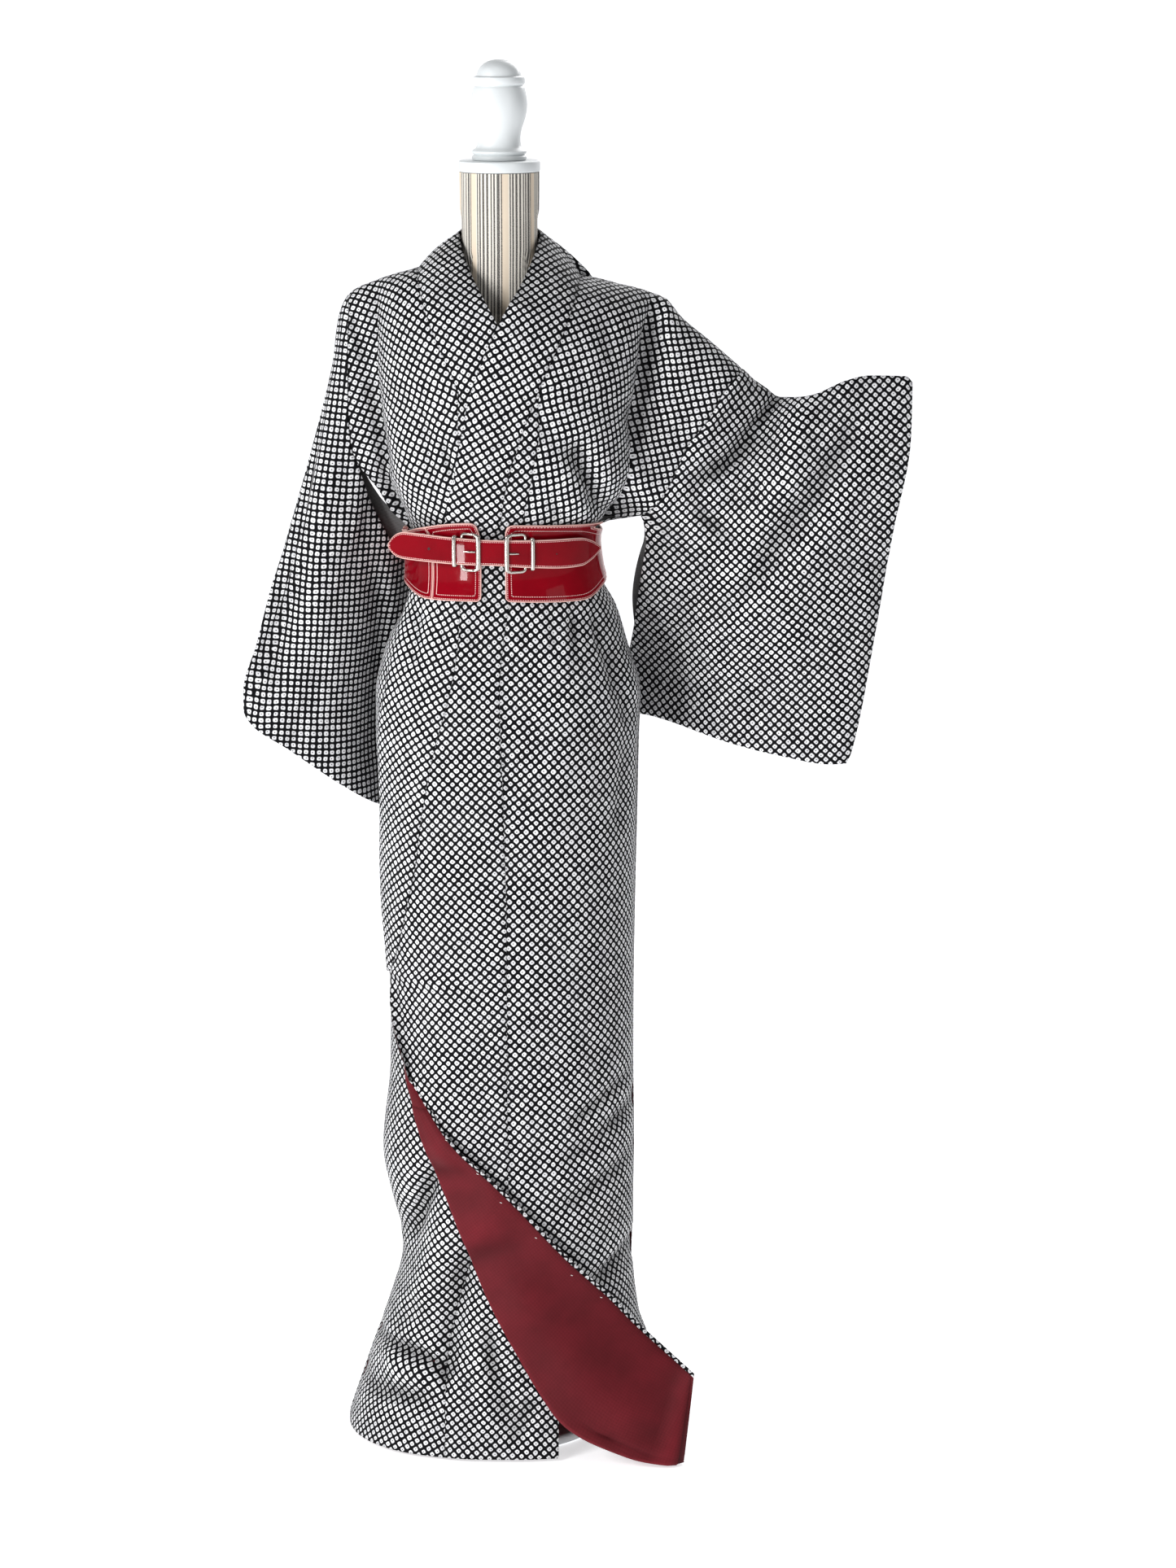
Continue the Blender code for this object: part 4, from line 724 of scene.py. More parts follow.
def gridFaces(rows, columns, start, ring=False, flip=False):
    index = start + np.arange(rows * columns).reshape(rows, columns)
    if ring:
        index = np.concatenate([index, index[:, :1]], axis=1)
    quads = np.stack([index[:-1, :-1], index[:-1, 1:], index[1:, 1:], index[1:, :-1]], -1)
    quads = quads.reshape(-1, 4)
    return quads[:, ::-1] if flip else quads


# Faces between two closed lines of points
def stripFaces(near, far):
    near, far = np.r_[near, near[:1]], np.r_[far, far[:1]]
    return np.stack([near[:-1], near[1:], far[1:], far[:-1]], -1)


def border(rows, columns):
    index = np.arange(rows * columns).reshape(rows, columns)
    return np.concatenate([index[0, :-1], index[:-1, -1], index[-1, :0:-1], index[:0:-1, 0]])


# One cloth piece from its two faces; ring is for a bag whose rows close on themselves
def clothWall(name, outer, inner, flat, materials, ring=False, values=None, rolled=0):
    rows, columns = outer.shape[:2]
    count = rows * columns
    between = (outer + inner) / 2
    faces = [gridFaces(rows, columns, 0, ring), gridFaces(rows, columns, count, ring, True)]
    behind = np.ones(len(faces[1]), int)
    if rolled:
        # the outer cloth comes round the last edge for this many columns
        behind.reshape(rows - 1, -1)[:, -rolled:] = 0
    slots = [np.zeros(len(faces[0]), int), behind]
    points = [outer.reshape(-1, 3), inner.reshape(-1, 3)]
    cut = np.stack([flat.real, flat.imag], -1).reshape(-1, 2) / 1000
    places = [cut, cut]
    # fold: how hollow each place lies, which the materials turn into painted shade
    values = values or {"fold": hollowness(outer, inner, ring)}
    levels = {key: [v.ravel(), v.ravel()] for key, v in values.items()}
    if ring:
        rims = [np.arange(columns), np.arange(count - columns, count)]
    else:
        rims = [border(rows, columns)]
    start = 2 * count
    for rim in rims:
        middle = np.arange(start, start + len(rim))
        faces.append(stripFaces(rim, middle))
        faces.append(stripFaces(middle, rim + count))
        slots += [np.zeros(len(rim), int), np.ones(len(rim), int)]
        points.append(between.reshape(-1, 3)[rim])
        places.append(cut[rim])
        for key, parts in levels.items():
            parts.append(parts[0][rim])
        start += len(rim)
    return makePiece(
        name,
        np.concatenate(points),
        np.concatenate(faces).tolist(),
        materials,
        np.concatenate(slots),
        np.concatenate(places),
        {key: np.concatenate(parts) for key, parts in levels.items()},
    )


# How far each place lies in a hollow of the cloth (up to 1) or on a ridge (down to -1), and more
# near a sheet's edges; the materials paint shade and light into the colour by it
def hollowness(outer, inner, ring, reach=4, deep=4.5, rim=0.5):
    size = 2 * reach + 1
    mean = np.pad(outer, ((reach, reach), (0, 0), (0, 0)), mode="reflect", reflect_type="odd")
    mean = np.pad(mean, ((0, 0), (reach, reach), (0, 0)), mode="wrap" if ring else "edge")
    for axis in (0, 1):
        mean = np.lib.stride_tricks.sliding_window_view(mean, size, axis=axis).mean(-1)
    hollow = ((mean - outer) * unit(outer - inner)).sum(-1) / deep
    sides = 0 if ring else rim * np.exp(-(fromEdges(outer) / 2.5) ** 2)
    return np.clip(hollow, -0.8, 1) + sides


# Distance from the nearest of a grid's four sides, measured over the cloth
def fromEdges(points, sides="nsew"):
    u, v = reachAlong(points, 1), reachAlong(points, 0)
    reach = {"w": u, "e": u[:, -1:] - u, "n": v, "s": v[-1:] - v}
    return np.min([reach[side] for side in sides], axis=0)


# The cloth rolls in a little where it is sewn
def sewn(points, normals, distance, deep=0.9, wide=3.5):
    return points - normals * (deep * np.exp(-((distance / wide) ** 2)))[..., None]


def gridNormals(points):
    down = np.gradient(points, axis=0)
    across = np.gradient(points, axis=1)
    return unit(np.cross(across, down))


# Materials. These put nodes in a tree and give back the socket that the next node reads.
def isLink(value):
    return hasattr(value, "is_output")


def addNode(tree, kind, *inputs, **settings):
    node = tree.nodes.new("ShaderNode" + kind)
    for key, value in settings.items():
        setattr(node, key, value)
    for place, value in enumerate(inputs):
        if isLink(value):
            tree.links.new(value, node.inputs[place])
        elif value is not None:
            node.inputs[place].default_value = value
    return node


def join(tree, node, **sockets):
    for key, value in sockets.items():
        socket = node.inputs[key.replace("_", " ")]
        if isLink(value):
            tree.links.new(value, socket)
        else:
            short = isinstance(value, tuple) and len(value) < len(socket.default_value)
            socket.default_value = (*value, 1) if short else value
    return node


def calc(tree, operation, *inputs):
    return addNode(tree, "Math", *inputs, operation=operation).outputs[0]


def vector(tree, operation, *inputs):
    return addNode(tree, "VectorMath", *inputs, operation=operation).outputs[0]


def scaled(tree, value, factor):
    node = addNode(tree, "VectorMath", value, operation="SCALE")
    return join(tree, node, Scale=factor).outputs[0]


def mapped(tree, place, degrees, scale):
    node = addNode(tree, "Mapping", place)
    turn = (0.0, 0.0, math.radians(degrees))
    return join(tree, node, Rotation=turn, Scale=(scale,) * 3).outputs[0]


def noise(tree, place, scale, detail=2.0, **settings):
    node = addNode(tree, "TexNoise", place, **settings)
    return join(tree, node, Scale=scale, Detail=detail)


def ramp(tree, value, low, high, first=0.0, last=1.0, kind="LINEAR"):
    node = addNode(tree, "MapRange", value, low, high, first, last, interpolation_type=kind)
    return node.outputs[0]


# 1 where value lies under low, 0 above high
def below(tree, value, low, high):
    return ramp(tree, value, low, high, 1.0, 0.0, "SMOOTHSTEP")


# 1 along a line at place, as wide as the two shares of half say
def lineAt(tree, value, place, half, shares):
    away = calc(tree, "ABSOLUTE", calc(tree, "SUBTRACT", value, place))
    return below(tree, away, half * shares[0], half * shares[1])


def highest(tree, values):
    total = values[0]
    for value in values[1:]:
        total = calc(tree, "MAXIMUM", total, value)
    return total


def blend(tree, share, a, b):
    node = addNode(tree, "Mix", share, data_type="RGBA")
    for place, value in ((6, a), (7, b)):
        if isLink(value):
            tree.links.new(value, node.inputs[place])
        else:
            node.inputs[place].default_value = (*value, 1)
    return node.outputs[2]


def bump(tree, height, distance, strength=1.0, under=None):
    node = join(tree, addNode(tree, "Bump"), Height=height, Distance=distance, Strength=strength)
    if under is not None:
        tree.links.new(under, node.inputs["Normal"])
    return node.outputs[0]


def attribute(tree, name):
    return addNode(tree, "Attribute", attribute_name=name).outputs["Fac"]


def cutPlace(tree):
    return addNode(tree, "UVMap", uv_map="cut").outputs[0]


def objectPlace(tree):
    return addNode(tree, "TexCoord").outputs["Object"]


def newMaterial(name):
    material = bpy.data.materials.new(name)
    material.use_nodes = True
    return material, material.node_tree, material.node_tree.nodes["Principled BSDF"]


# Painted shade and light: the colour is darkened in the cloth's hollows and along its edges, and a
# little lightened on its ridges
def paintedHollowShade(tree, colour, share):
    kept = calc(tree, "MULTIPLY_ADD", attribute(tree, "fold"), -share, 1.0 - 0.1 * share)
    return scaled(tree, colour, kept)


# Black crepe with rows of white squares, each with a dark middle, as tie-dyed by hand. The rows
# cross the grain at 45 degrees.
kimonoCloth = {
    "pitch": 0.0079,
    "square": 0.333,
    "power": 3.4,  # 2 makes the squares round, more makes them squarer
    "soft": (-0.045, 0.035),
    "uneven": 0.03,
    "wander": 0.0009,
    "wanderScale": 90.0,
    "dot": 0.085,
    "dotWander": 0.12,
    "shade": 0.42,
    "white": (0.72, 0.72, 0.73),
    "dull": (0.60, 0.60, 0.62),
    "black": (0.003, 0.003, 0.004),
    "middle": (0.05, 0.05, 0.055),
    "roughness": 0.72,
    "sheen": 0.02,
    "raised": 0.00035,
    "weave": 0.00012,
}


def komonMaterial():
    s = kimonoCloth
    material, tree, shader = newMaterial("komonSilk")
    place = cutPlace(tree)
    half = (0.5, 0.5, 0.5)
    drift = noise(tree, place, s["wanderScale"], noise_dimensions="2D").outputs["Color"]
    moved = scaled(tree, vector(tree, "SUBTRACT", drift, half), s["wander"] * 2)
    turned = mapped(tree, vector(tree, "ADD", place, moved), 45, 1 / s["pitch"])
    cell = vector(tree, "FLOOR", turned)
    chance = addNode(tree, "TexWhiteNoise", cell, noise_dimensions="2D").outputs["Color"]
    parts = addNode(tree, "SeparateColor", chance)
    centred = vector(tree, "SUBTRACT", vector(tree, "FRACTION", turned), half)
    sides = addNode(tree, "SeparateXYZ", centred).outputs
    wide, tall = (
        calc(tree, "POWER", calc(tree, "ABSOLUTE", sides[k]), s["power"]) for k in (0, 1)
    )
    reach = calc(tree, "POWER", calc(tree, "ADD", wide, tall), 1 / s["power"])
    uneven = s["uneven"]
    size = calc(tree, "MULTIPLY_ADD", parts.outputs[0], -2 * uneven, s["square"] + uneven)
    square = below(tree, calc(tree, "SUBTRACT", reach, size), *s["soft"])
    shift = scaled(tree, vector(tree, "SUBTRACT", chance, half), s["dotWander"])
    dotAt = vector(tree, "MULTIPLY", vector(tree, "SUBTRACT", centred, shift), (1, 1, 0))
    dotReach = addNode(tree, "VectorMath", dotAt, operation="LENGTH").outputs["Value"]
    dot = below(tree, dotReach, s["dot"] * 0.6, s["dot"] * 1.5)
    pale = blend(tree, parts.outputs[1], s["white"], s["dull"])
    colour = blend(tree, dot, blend(tree, square, s["black"], pale), s["middle"])
    slub = noise(tree, place, 1500.0, 3.0).outputs[0]
    under = bump(tree, slub, s["weave"], 0.6)
    join(
        tree,
        shader,
        Base_Color=paintedHollowShade(tree, colour, s["shade"]),
        Roughness=s["roughness"],
        Sheen_Weight=s["sheen"],
        Sheen_Roughness=0.4,
        IOR=1.16,
        Normal=bump(tree, square, s["raised"], 0.6, under),
    )
    return material


# Dark red silk: a fine twill with a low shine. The skirt's lining is red and the rest is pale
# silk, given a dark grey as painted shade, for it lies in shade inside the sleeves and under the
# arms.
liningCloth = {
    "colour": (0.126, 0.0095, 0.0150),
    "deep": (0.100, 0.0080, 0.0120),
    "check": 0.0049,
    "checkColour": (0.02, 0.002, 0.003),
    "faint": 0.22,
    "shade": 0.5,
    # the pale lining's colour, darkened to grey as painted shade
    "pale": (0.16, 0.16, 0.16),
    "split": 0.69,
    "twill": 0.0011,
    "twillTurn": 58,
    "roughness": 0.55,
    "sheen": 0.05,
    "tint": (0.85, 0.35, 0.42),
    "raised": 0.00012,
}


def liningMaterial():
    s = liningCloth
    material, tree, shader = newMaterial("liningSilk")
    place = cutPlace(tree)
    turned = mapped(tree, place, s["twillTurn"], 1 / s["twill"])
    line = addNode(tree, "SeparateXYZ", turned).outputs[0]
    ribs = calc(tree, "SINE", calc(tree, "MULTIPLY", line, 2 * math.pi))
    share = ramp(tree, noise(tree, place, 26.0, 3.0).outputs[0], 0.35, 0.7)
    colour = blend(tree, share, s["colour"], s["deep"])
    height = addNode(tree, "SeparateXYZ", objectPlace(tree)).outputs[2]
    # above the split the lining is pale, in a grey that is painted shade
    colour = blend(tree, ramp(tree, height, s["split"], s["split"] + 0.002), colour, s["pale"])
    # the outer cloth's small raised squares show through as a faint check
    sides = addNode(tree, "SeparateXYZ", mapped(tree, place, 45, 2 * math.pi / s["check"]))
    squares = calc(tree, "MULTIPLY", *(calc(tree, "SINE", sides.outputs[k]) for k in (0, 1)))
    faint = calc(tree, "MULTIPLY_ADD", squares, s["faint"] / 2, s["faint"] / 2)
    colour = blend(tree, faint, colour, s["checkColour"])
    join(
        tree,
        shader,
        Base_Color=paintedHollowShade(tree, colour, s["shade"]),
        Roughness=s["roughness"],
        Sheen_Weight=s["sheen"],
        Sheen_Roughness=0.3,
        Sheen_Tint=s["tint"],
        IOR=1.2,
        Normal=bump(tree, ribs, s["raised"], 0.4),
    )
    return material


# Patent leather: glossy red over a fine grain, with a pale pink cut edge and stitching
patent = {
    "red": (0.205, 0.0008, 0.0060),
    "deep": (0.10, 0.0006, 0.0034),
    "edge": (0.66, 0.40, 0.36),
    "stitch": (0.80, 0.46, 0.45),
    "edgeWide": 0.0014,
    "rows": (0.0026, 0.0070),
    "rowHalf": 0.00038,
    "stitchLong": 0.0026,
    "roughness": 0.10,
    "matt": 0.4,
    "coat": 0.27,
    "wave": 0.0016,
    "sunk": 0.0006,
}


def patentMaterial(name, rows):
    s = patent
    material, tree, shader = newMaterial(name)
    edge, run, spot = attribute(tree, "edge"), attribute(tree, "run"), objectPlace(tree)
    rim = below(tree, edge, s["edgeWide"] * 0.8, s["edgeWide"] * 1.2)
    beat = calc(tree, "FRACT", calc(tree, "DIVIDE", run, s["stitchLong"]))
    dash = lineAt(tree, beat, 0.5, 1.0, (0.30, 0.36))
    seam = highest(tree, [lineAt(tree, edge, row, s["rowHalf"], (0.7, 1.3)) for row in rows])
    stitched = calc(tree, "MULTIPLY", seam, dash)
    share = ramp(tree, noise(tree, spot, 18.0, 4.0).outputs[0], 0.4, 0.75, 0.0, 0.6)
    colour = blend(tree, share, s["red"], s["deep"])
    colour = blend(tree, rim, blend(tree, stitched, colour, s["stitch"]), s["edge"])
    scuffs = noise(tree, spot, 240.0).outputs[0]
    rough = ramp(tree, scuffs, 0.45, 0.8, s["roughness"], 0.34)
    rough = calc(tree, "MULTIPLY_ADD", highest(tree, [rim, stitched]), s["matt"], rough)
    waves = bump(tree, noise(tree, spot, 42.0).outputs[0], s["wave"], 0.5)
    sunk = calc(tree, "SUBTRACT", stitched, seam)
    join(
        tree,
        shader,
        Base_Color=colour,
        Roughness=rough,
        Coat_Weight=s["coat"],
        Coat_Roughness=0.04,
        Coat_IOR=1.4,
        IOR=1.08,
        Normal=bump(tree, sunk, s["sunk"], 1.0, waves),
    )
    return material


# Cotton ticking: grey stripes and a beige band on cream, by their place across, in metres
ticking = {
    "ground": (0.74, 0.70, 0.63),
    "beige": (0.66, 0.56, 0.44),
    "dark": (0.022, 0.019, 0.020),
    "roughness": 0.9,
    "repeat": 0.04219,
    "band": (0.0081, 0.0050),
    "stripes": (
        (0.0, 0.0019), (0.0040, 0.0008), (0.0150, 0.0009), (0.0185, 0.0012),
        (0.0232, 0.0015), (0.0285, 0.0014), (0.0335, 0.0009), (0.0372, 0.0011),
    ),
}


def tickingMaterial():
    s = ticking
    repeat = s["repeat"]
    material, tree, shader = newMaterial("ticking")
    place = cutPlace(tree)
    fray = noise(tree, place, 900.0, 3.0).outputs[0]
    u = addNode(tree, "SeparateXYZ", place).outputs[0]
    u = calc(tree, "MULTIPLY_ADD", fray, 0.0009, u)
    along = calc(tree, "MODULO", calc(tree, "ADD", u, 20.5 * repeat), repeat)
    *lines, band = [
        lineAt(tree, along, (middle + repeat / 2) % repeat, wide, (0.8, 1.15))
        for middle, wide in s["stripes"] + (s["band"],)
    ]
    heather = ramp(tree, fray, 0.35, 0.7, 1.0, 0.7)
    striped = calc(tree, "MULTIPLY", highest(tree, lines), heather)
    colour = blend(tree, striped, blend(tree, band, s["ground"], s["beige"]), s["dark"])
    weave = noise(tree, place, 1700.0).outputs[0]
    join(
        tree,
        shader,
        Base_Color=colour,
        Roughness=s["roughness"],
        Normal=bump(tree, weave, 0.0003, 0.5),
    )
    return material


# Finishes of one colour with a fine grain: colour, roughness or its range, grain and its depth
finishes = {
    "thread": {"colour": (0.74, 0.69, 0.66), "rough": 0.8, "grain": 1800.0, "deep": 0.0002},
    "punchedHole": {"colour": (0.03, 0.006, 0.008), "rough": 0.8, "grain": 900.0, "deep": 0.0002},
    "nickel": {
        "colour": (0.52, 0.49, 0.45), "rough": (0.35, 0.75, 0.12, 0.34), "grain": 320.0,
        "detail": 3.0, "deep": 0.00006, "metal": 1.0,
    },
    "woodPaint": {
        "colour": (0.66, 0.69, 0.70), "rough": (0.3, 0.8, 0.38, 0.52), "grain": 60.0,
        "detail": 4.0, "deep": 0.00015, "coat": 0.15,
    },
}
finishes["polePaint"] = {**finishes["woodPaint"], "grain": 220.0}


def plainMaterial(name):
    s = finishes[name]
    material, tree, shader = newMaterial(name)
    grain = noise(tree, objectPlace(tree), s["grain"], s.get("detail", 2.0)).outputs[0]
    rough = s["rough"] if isinstance(s["rough"], float) else ramp(tree, grain, *s["rough"])
    join(
        tree,
        shader,
        Base_Color=s["colour"],
        Roughness=rough,
        Metallic=s.get("metal", 0.0),
        Coat_Weight=s.get("coat", 0.0),
        Normal=bump(tree, grain, s["deep"], 0.5),
    )
    return material


komonSilk = komonMaterial()
liningSilk = liningMaterial()
patentPanel = patentMaterial("patentPanel", patent["rows"])
patentStrap = patentMaterial("patentStrap", patent["rows"][:1])
tickingCotton = tickingMaterial()
thread, punchedHole, nickelPlate, woodPaint, polePaint = (
    plainMaterial(name) for name in ("thread", "punchedHole", "nickel", "woodPaint", "polePaint")
)
print("materials made")


# The rows on the back turn over the shoulder: how far, in degrees, and how far they stand off
def overShoulder(rows):
    return (rows - bodySet["chest"]) / bodySet["arch"] * 90


def backLift(angle, lift, turn):
    return mix(backOffset(angle), lift, smooth((turn - 75) / 14))


def liftOf(side):
    return bodySet["layer"] if side > 0 else 0.0


# A cloth piece from its two faces, rolled in a little along its sewn edges
def sewnPiece(name, node, outer, inner):
    normals, distance = unit(outer - inner), fromEdges(outer)
    outer, inner = sewn(outer, normals, distance), sewn(inner, normals, distance, 0.5)
    piece = clothWall(name, outer, inner, laidFlat(outer), (komonSilk, liningSilk))
    return dress(piece, "komon_cloth", node)


# Body panels: front and back in one length over the shoulder
def bodyPanel(name, side, node):
    thick, gap = clothSet["thick"], clothSet["seam"]
    share = np.linspace(0, 1, clothSet["columns"] + 1)
    rows = refined(levels + archLevels(frontTurns), clothSet["pitch"])
    angles = mix(seamAngle(side, rows, gap)[:, None], side * 90.0, share)
    front = frontPoint(side, angles, rows[:, None])
    frontIn = frontPoint(side, angles, rows[:, None], thick)
    rows = refined(archLevels(backTurns) + levels[::-1], clothSet["pitch"])
    turn = overShoulder(rows)
    neck = angleAt(neckLine["seamX"](np.maximum(turn, 0)) + gap, bodySet["chest"], 0)
    least = clothSet["backSeam"]
    start = np.where(turn > 0, np.maximum(neck, least), least)[:, None] * side
    angles = mix(start, side * 90.0, share)
    offset = backLift(angles, liftOf(side), turn[:, None])
    back = skin(angles, rows[:, None], True, offset)
    backIn = skin(angles, rows[:, None], True, offset - thick)
    return sewnPiece(
        name, node, np.concatenate([front, back]), np.concatenate([frontIn, backIn])
    )


bodyLeft = bodyPanel("bodyLeft", 1, "body_left")
bodyRight = bodyPanel("bodyRight", -1, "body_right")
print("body panels made")


# The inner overlap, whose free edge lies across the wearer's left
def innerOverlap():
    rows = refined(levels + archLevels((10,)), clothSet["pitch"])
    under = collarSeamX(-1, rows) - clothSet["seam"]
    edge = np.where(rows < cornerSet["collarFoot"], innerEdge["x"](rows), under)
    start, end = seamAngle(-1, rows, -clothSet["seam"]), frontAngle(-1, edge, rows)
    angles = mix(start[:, None], end[:, None], np.linspace(0, 1, clothSet["overlapColumns"] + 1))
    outer = frontPoint(-1, angles, rows[:, None])
    inner = frontPoint(-1, angles, rows[:, None], clothSet["thick"])
    return sewnPiece("okumiRight", "okumi_right", outer, inner)


okumiRight = innerOverlap()
print("inner overlap made")

# The outer overlap, its corner turned back so that the lining shows
turnSet = {
    "radius": 2.6,
    "edgeLength": 6.0,
    "bulge": 6.0,
    "tip": (219.0, -158.0, 3.2),
    "tipReach": 24.0,
    "hemEase": 50.0,
    "fullLength": 60.0,
    "lead": 0.7,
    "lift": 0.8,
    "bandDeep": 1.8,
    "piping": 3.4,
    "band": 13.0,
    "panel": 30,
    "bend": 10,
    "flap": 34,
    "panelShare": 0.92,
    "ends": (565.0, 600.0),
    "pitch": 5.5,
    "liningRows": (6.9, 446),
    "liningFrom": 0.75,
    "puff": 0.9,
    "liningThick": 0.6,
    "liningGap": 0.15,
    "curl": makeCurve((473, 500, 530, 565, 600), (180, 135, 90, 45, 0)),
}


def plainRows(rows):
    s = turnSet
    count = s["panel"] + s["bend"] + s["flap"]
    start = seamAngle(1, rows, -clothSet["seam"])[:, None]
    end = frontAngle(1, collarSeamX(1, rows) + clothSet["seam"], rows)[:, None]
    wide = s["panelShare"]
    rest = np.linspace(wide, 1, count - s["panel"] + 1)[1:]
    angles = mix(start, end, np.r_[np.linspace(0, wide, s["panel"] + 1), rest])
    return frontPoint(1, angles, rows[:, None], clothSet["thick"] / 2)


def turnedRows(rows):
    s = turnSet
    thick = clothSet["thick"]
    low = rows < cornerSet["top"]
    endX = np.where(low, corner["foldX"](rows), outerEdge["x"](rows))
    endZ = np.where(low, corner["foldZ"](rows), rows)
    start, end = seamAngle(1, rows, -clothSet["seam"]), frontAngle(1, endX, endZ)
    share = np.linspace(0, 1, s["panel"] + 1)
    angles = mix(start[:, None], end[:, None], share)
    heights = mix(rows[:, None], endZ[:, None], share)
    panel = frontPoint(1, angles, heights, thick / 2)
    # the lowest corner stands forward of the skirt
    lowest = frontPoint(1, frontAngle(1, corner["foldX"](3.0), 1.0), 1.0, thick / 2)
    pulled = np.clip(1 - (rows - 3) / s["tipReach"], 0, 1)[:, None] * share**6
    panel = panel + pulled[..., None] * (np.array(s["tip"]) - lowest)
    facing = outward(end, endZ, False)
    fold = panel[:, -1]
    onward = fold - panel[:, -2]
    onward = unit(onward - facing * (onward * facing).sum(-1, keepdims=True))
    bend = np.radians(np.where(low, 180.0, s["curl"](rows)))
    radius = math.pi * s["radius"] / bend
    turn = bend[:, None] * np.linspace(0, 1, s["bend"] + 1)[1:]
    curl = (
        fold[:, None]
        + onward[:, None] * (radius[:, None] * np.sin(turn))[..., None]
        + facing[:, None] * (radius[:, None] * (1 - np.cos(turn)))[..., None]
    )
    begin = curl[:, -1]
    direction = onward * np.cos(bend)[:, None] + facing * np.sin(bend)[:, None]
    edge = np.stack([corner[key](rows) for key in ("edgeX", "edgeY", "edgeZ")], axis=-1)
    length = np.linalg.norm(edge - begin, axis=1)[:, None]
    last = 1 - s["piping"] / np.maximum(length, 8)
    t = np.linspace(0, 1, s["flap"])[None, 1:] * last
    t = np.concatenate([t, np.ones_like(last)], axis=1)[..., None]
    # the hem itself runs straight from fold to edge
    hem = smooth((rows - 3) / s["hemEase"])[:, None]
    forward = unit(mix(facing, np.array((0.0, -1.0, 0.0)), s["lead"]))
    full = np.minimum(1, length / s["fullLength"])
    bulge = forward * (s["bulge"] * full * mix(0.1, 1, hem))
    flap = (
        begin[:, None]
        + (edge - begin)[:, None] * t**1.5
        + direction[:, None] * (length[..., None] * hem[..., None] * t * (1 - t) ** 2) * s["lift"]
        + bulge[:, None] * np.sin(math.pi * t)
    )
    sway = flapWaves(flap[..., 0], flap[..., 2]) * np.sin(math.pi * t[..., 0]) ** 0.7
    # a doubled band lies along the foot of the turned-back corner
    away = (t[..., 0] * length - s["band"]) / 2.5
    sway = sway - s["bandDeep"] * np.exp(-(away**2)) * smooth((flap[..., 0] - 90) / 30)
    sway = sway * full * mix(0.08, 1, hem)
    flap = flap + (facing * (1, 1, 0))[:, None] * sway[..., None]
    straight = begin[:, None] + direction[:, None] * (
        s["edgeLength"] * np.linspace(0, 1, s["flap"] + 1)[1:][None, :, None]
    )
    tail = np.where(low[:, None, None], flap, straight)
    return np.concatenate([panel, curl, tail], axis=1)


# Soft waves of the turned-back corner, a dent near its foot and a swelling beside the band
waveSet = {
    "dent": {"at": (127, 38), "half": (13, 9), "deep": 8.0},
    "waves": ((1.8, 1.0, 26.0, 0), (1.2, -0.6, 17.0, 1)),
    "swelling": {"at": (165, 26), "slope": 0.25, "half": 9, "high": 2.5},
}


def flapWaves(x, z):
    dent, swelling = waveSet["dent"], waveSet["swelling"]
    away = sum(((p - at) / half) ** 2 for p, at, half in zip((x, z), dent["at"], dent["half"]))
    total = -dent["deep"] * np.exp(-away)
    for high, lean, long, shift in waveSet["waves"]:
        total = total + high * np.sin((x + lean * z) / long + shift)
    atX, atZ = swelling["at"]
    away = ((x - atX) * swelling["slope"] + z - atZ) / swelling["half"]
    return total + swelling["high"] * np.exp(-(away**2))


def outerOverlap():
    s, thick = turnSet, clothSet["thick"]
    rows = refined(levels + archLevels((10,)), s["pitch"])
    points = np.zeros((len(rows), s["panel"] + s["bend"] + s["flap"] + 1, 3))
    turned, plain = s["ends"]
    lower, upper = rows <= turned, rows >= plain
    points[lower] = turnedRows(rows[lower])
    points[upper] = plainRows(rows[upper])
    between = ~lower & ~upper
    share = ((rows[between] - turned) / (plain - turned))[:, None, None]
    points[between] = mix(turnedRows(np.array([turned])), plainRows(np.array([plain])), share)
    normals = gridNormals(points)
    first = (normals[40, 4] * outward(20.0, rows[40], False)).sum()
    normals *= 1 if first > 0 else -1
    # rows close together at the fold leave the slope unsure, so it is smoothed down the rows
    for _ in range(2):
        normals[1:-1] = unit(normals[:-2] + 2 * normals[1:-1] + normals[2:])
    distance = fromEdges(points)
    outer = sewn(points + normals * thick / 2, normals, distance, 0.7)
    inner = sewn(points - normals * thick / 2, normals, distance, 0.3)
    flat = laidFlat(points, (5, 4))
    piece = clothWall("okumiLeft", outer, inner, flat, (komonSilk, liningSilk), rolled=1)
    dress(piece, "komon_cloth", "okumi_left")
    low, high = s["liningRows"]
    shown = (rows >= low) & (rows <= high)
    columns = slice(int(s["panel"] * s["liningFrom"]), -1)
    middle, facing = points[shown][:, columns], normals[shown][:, columns]
    puff = s["puff"] * (1 - np.exp(-((fromEdges(middle) / 5) ** 2)))
    near = thick / 2 + s["liningGap"]
    first = middle - facing * near
    second = middle - facing * (near + s["liningThick"] + puff)[..., None]
    lining = clothWall(
        "cornerLining", second, first, flat[shown][:, columns], (liningSilk, liningSilk)
    )
    return piece, dress(lining, "lining", "corner_lining"), second, facing


okumiLeft, cornerLining, liningFace, liningFacing = outerOverlap()
print("outer overlap made")


# The collar: one folded band, from the left front round the neck and down the right front
collarSet = {
    "rise": 1.2,
    "thick": 2.4,
    "columns": 14,
    "gap": 0.2,
    "swell": 3.0,
    "pitch": 6.0,
    "stands": (1345.0, 32.0),  # from this height up it stands away from the body
    "turns": (88, 85, 82, 79, 75, 71, 67, 63, 60, 58, 56),
    "last": 54,
}


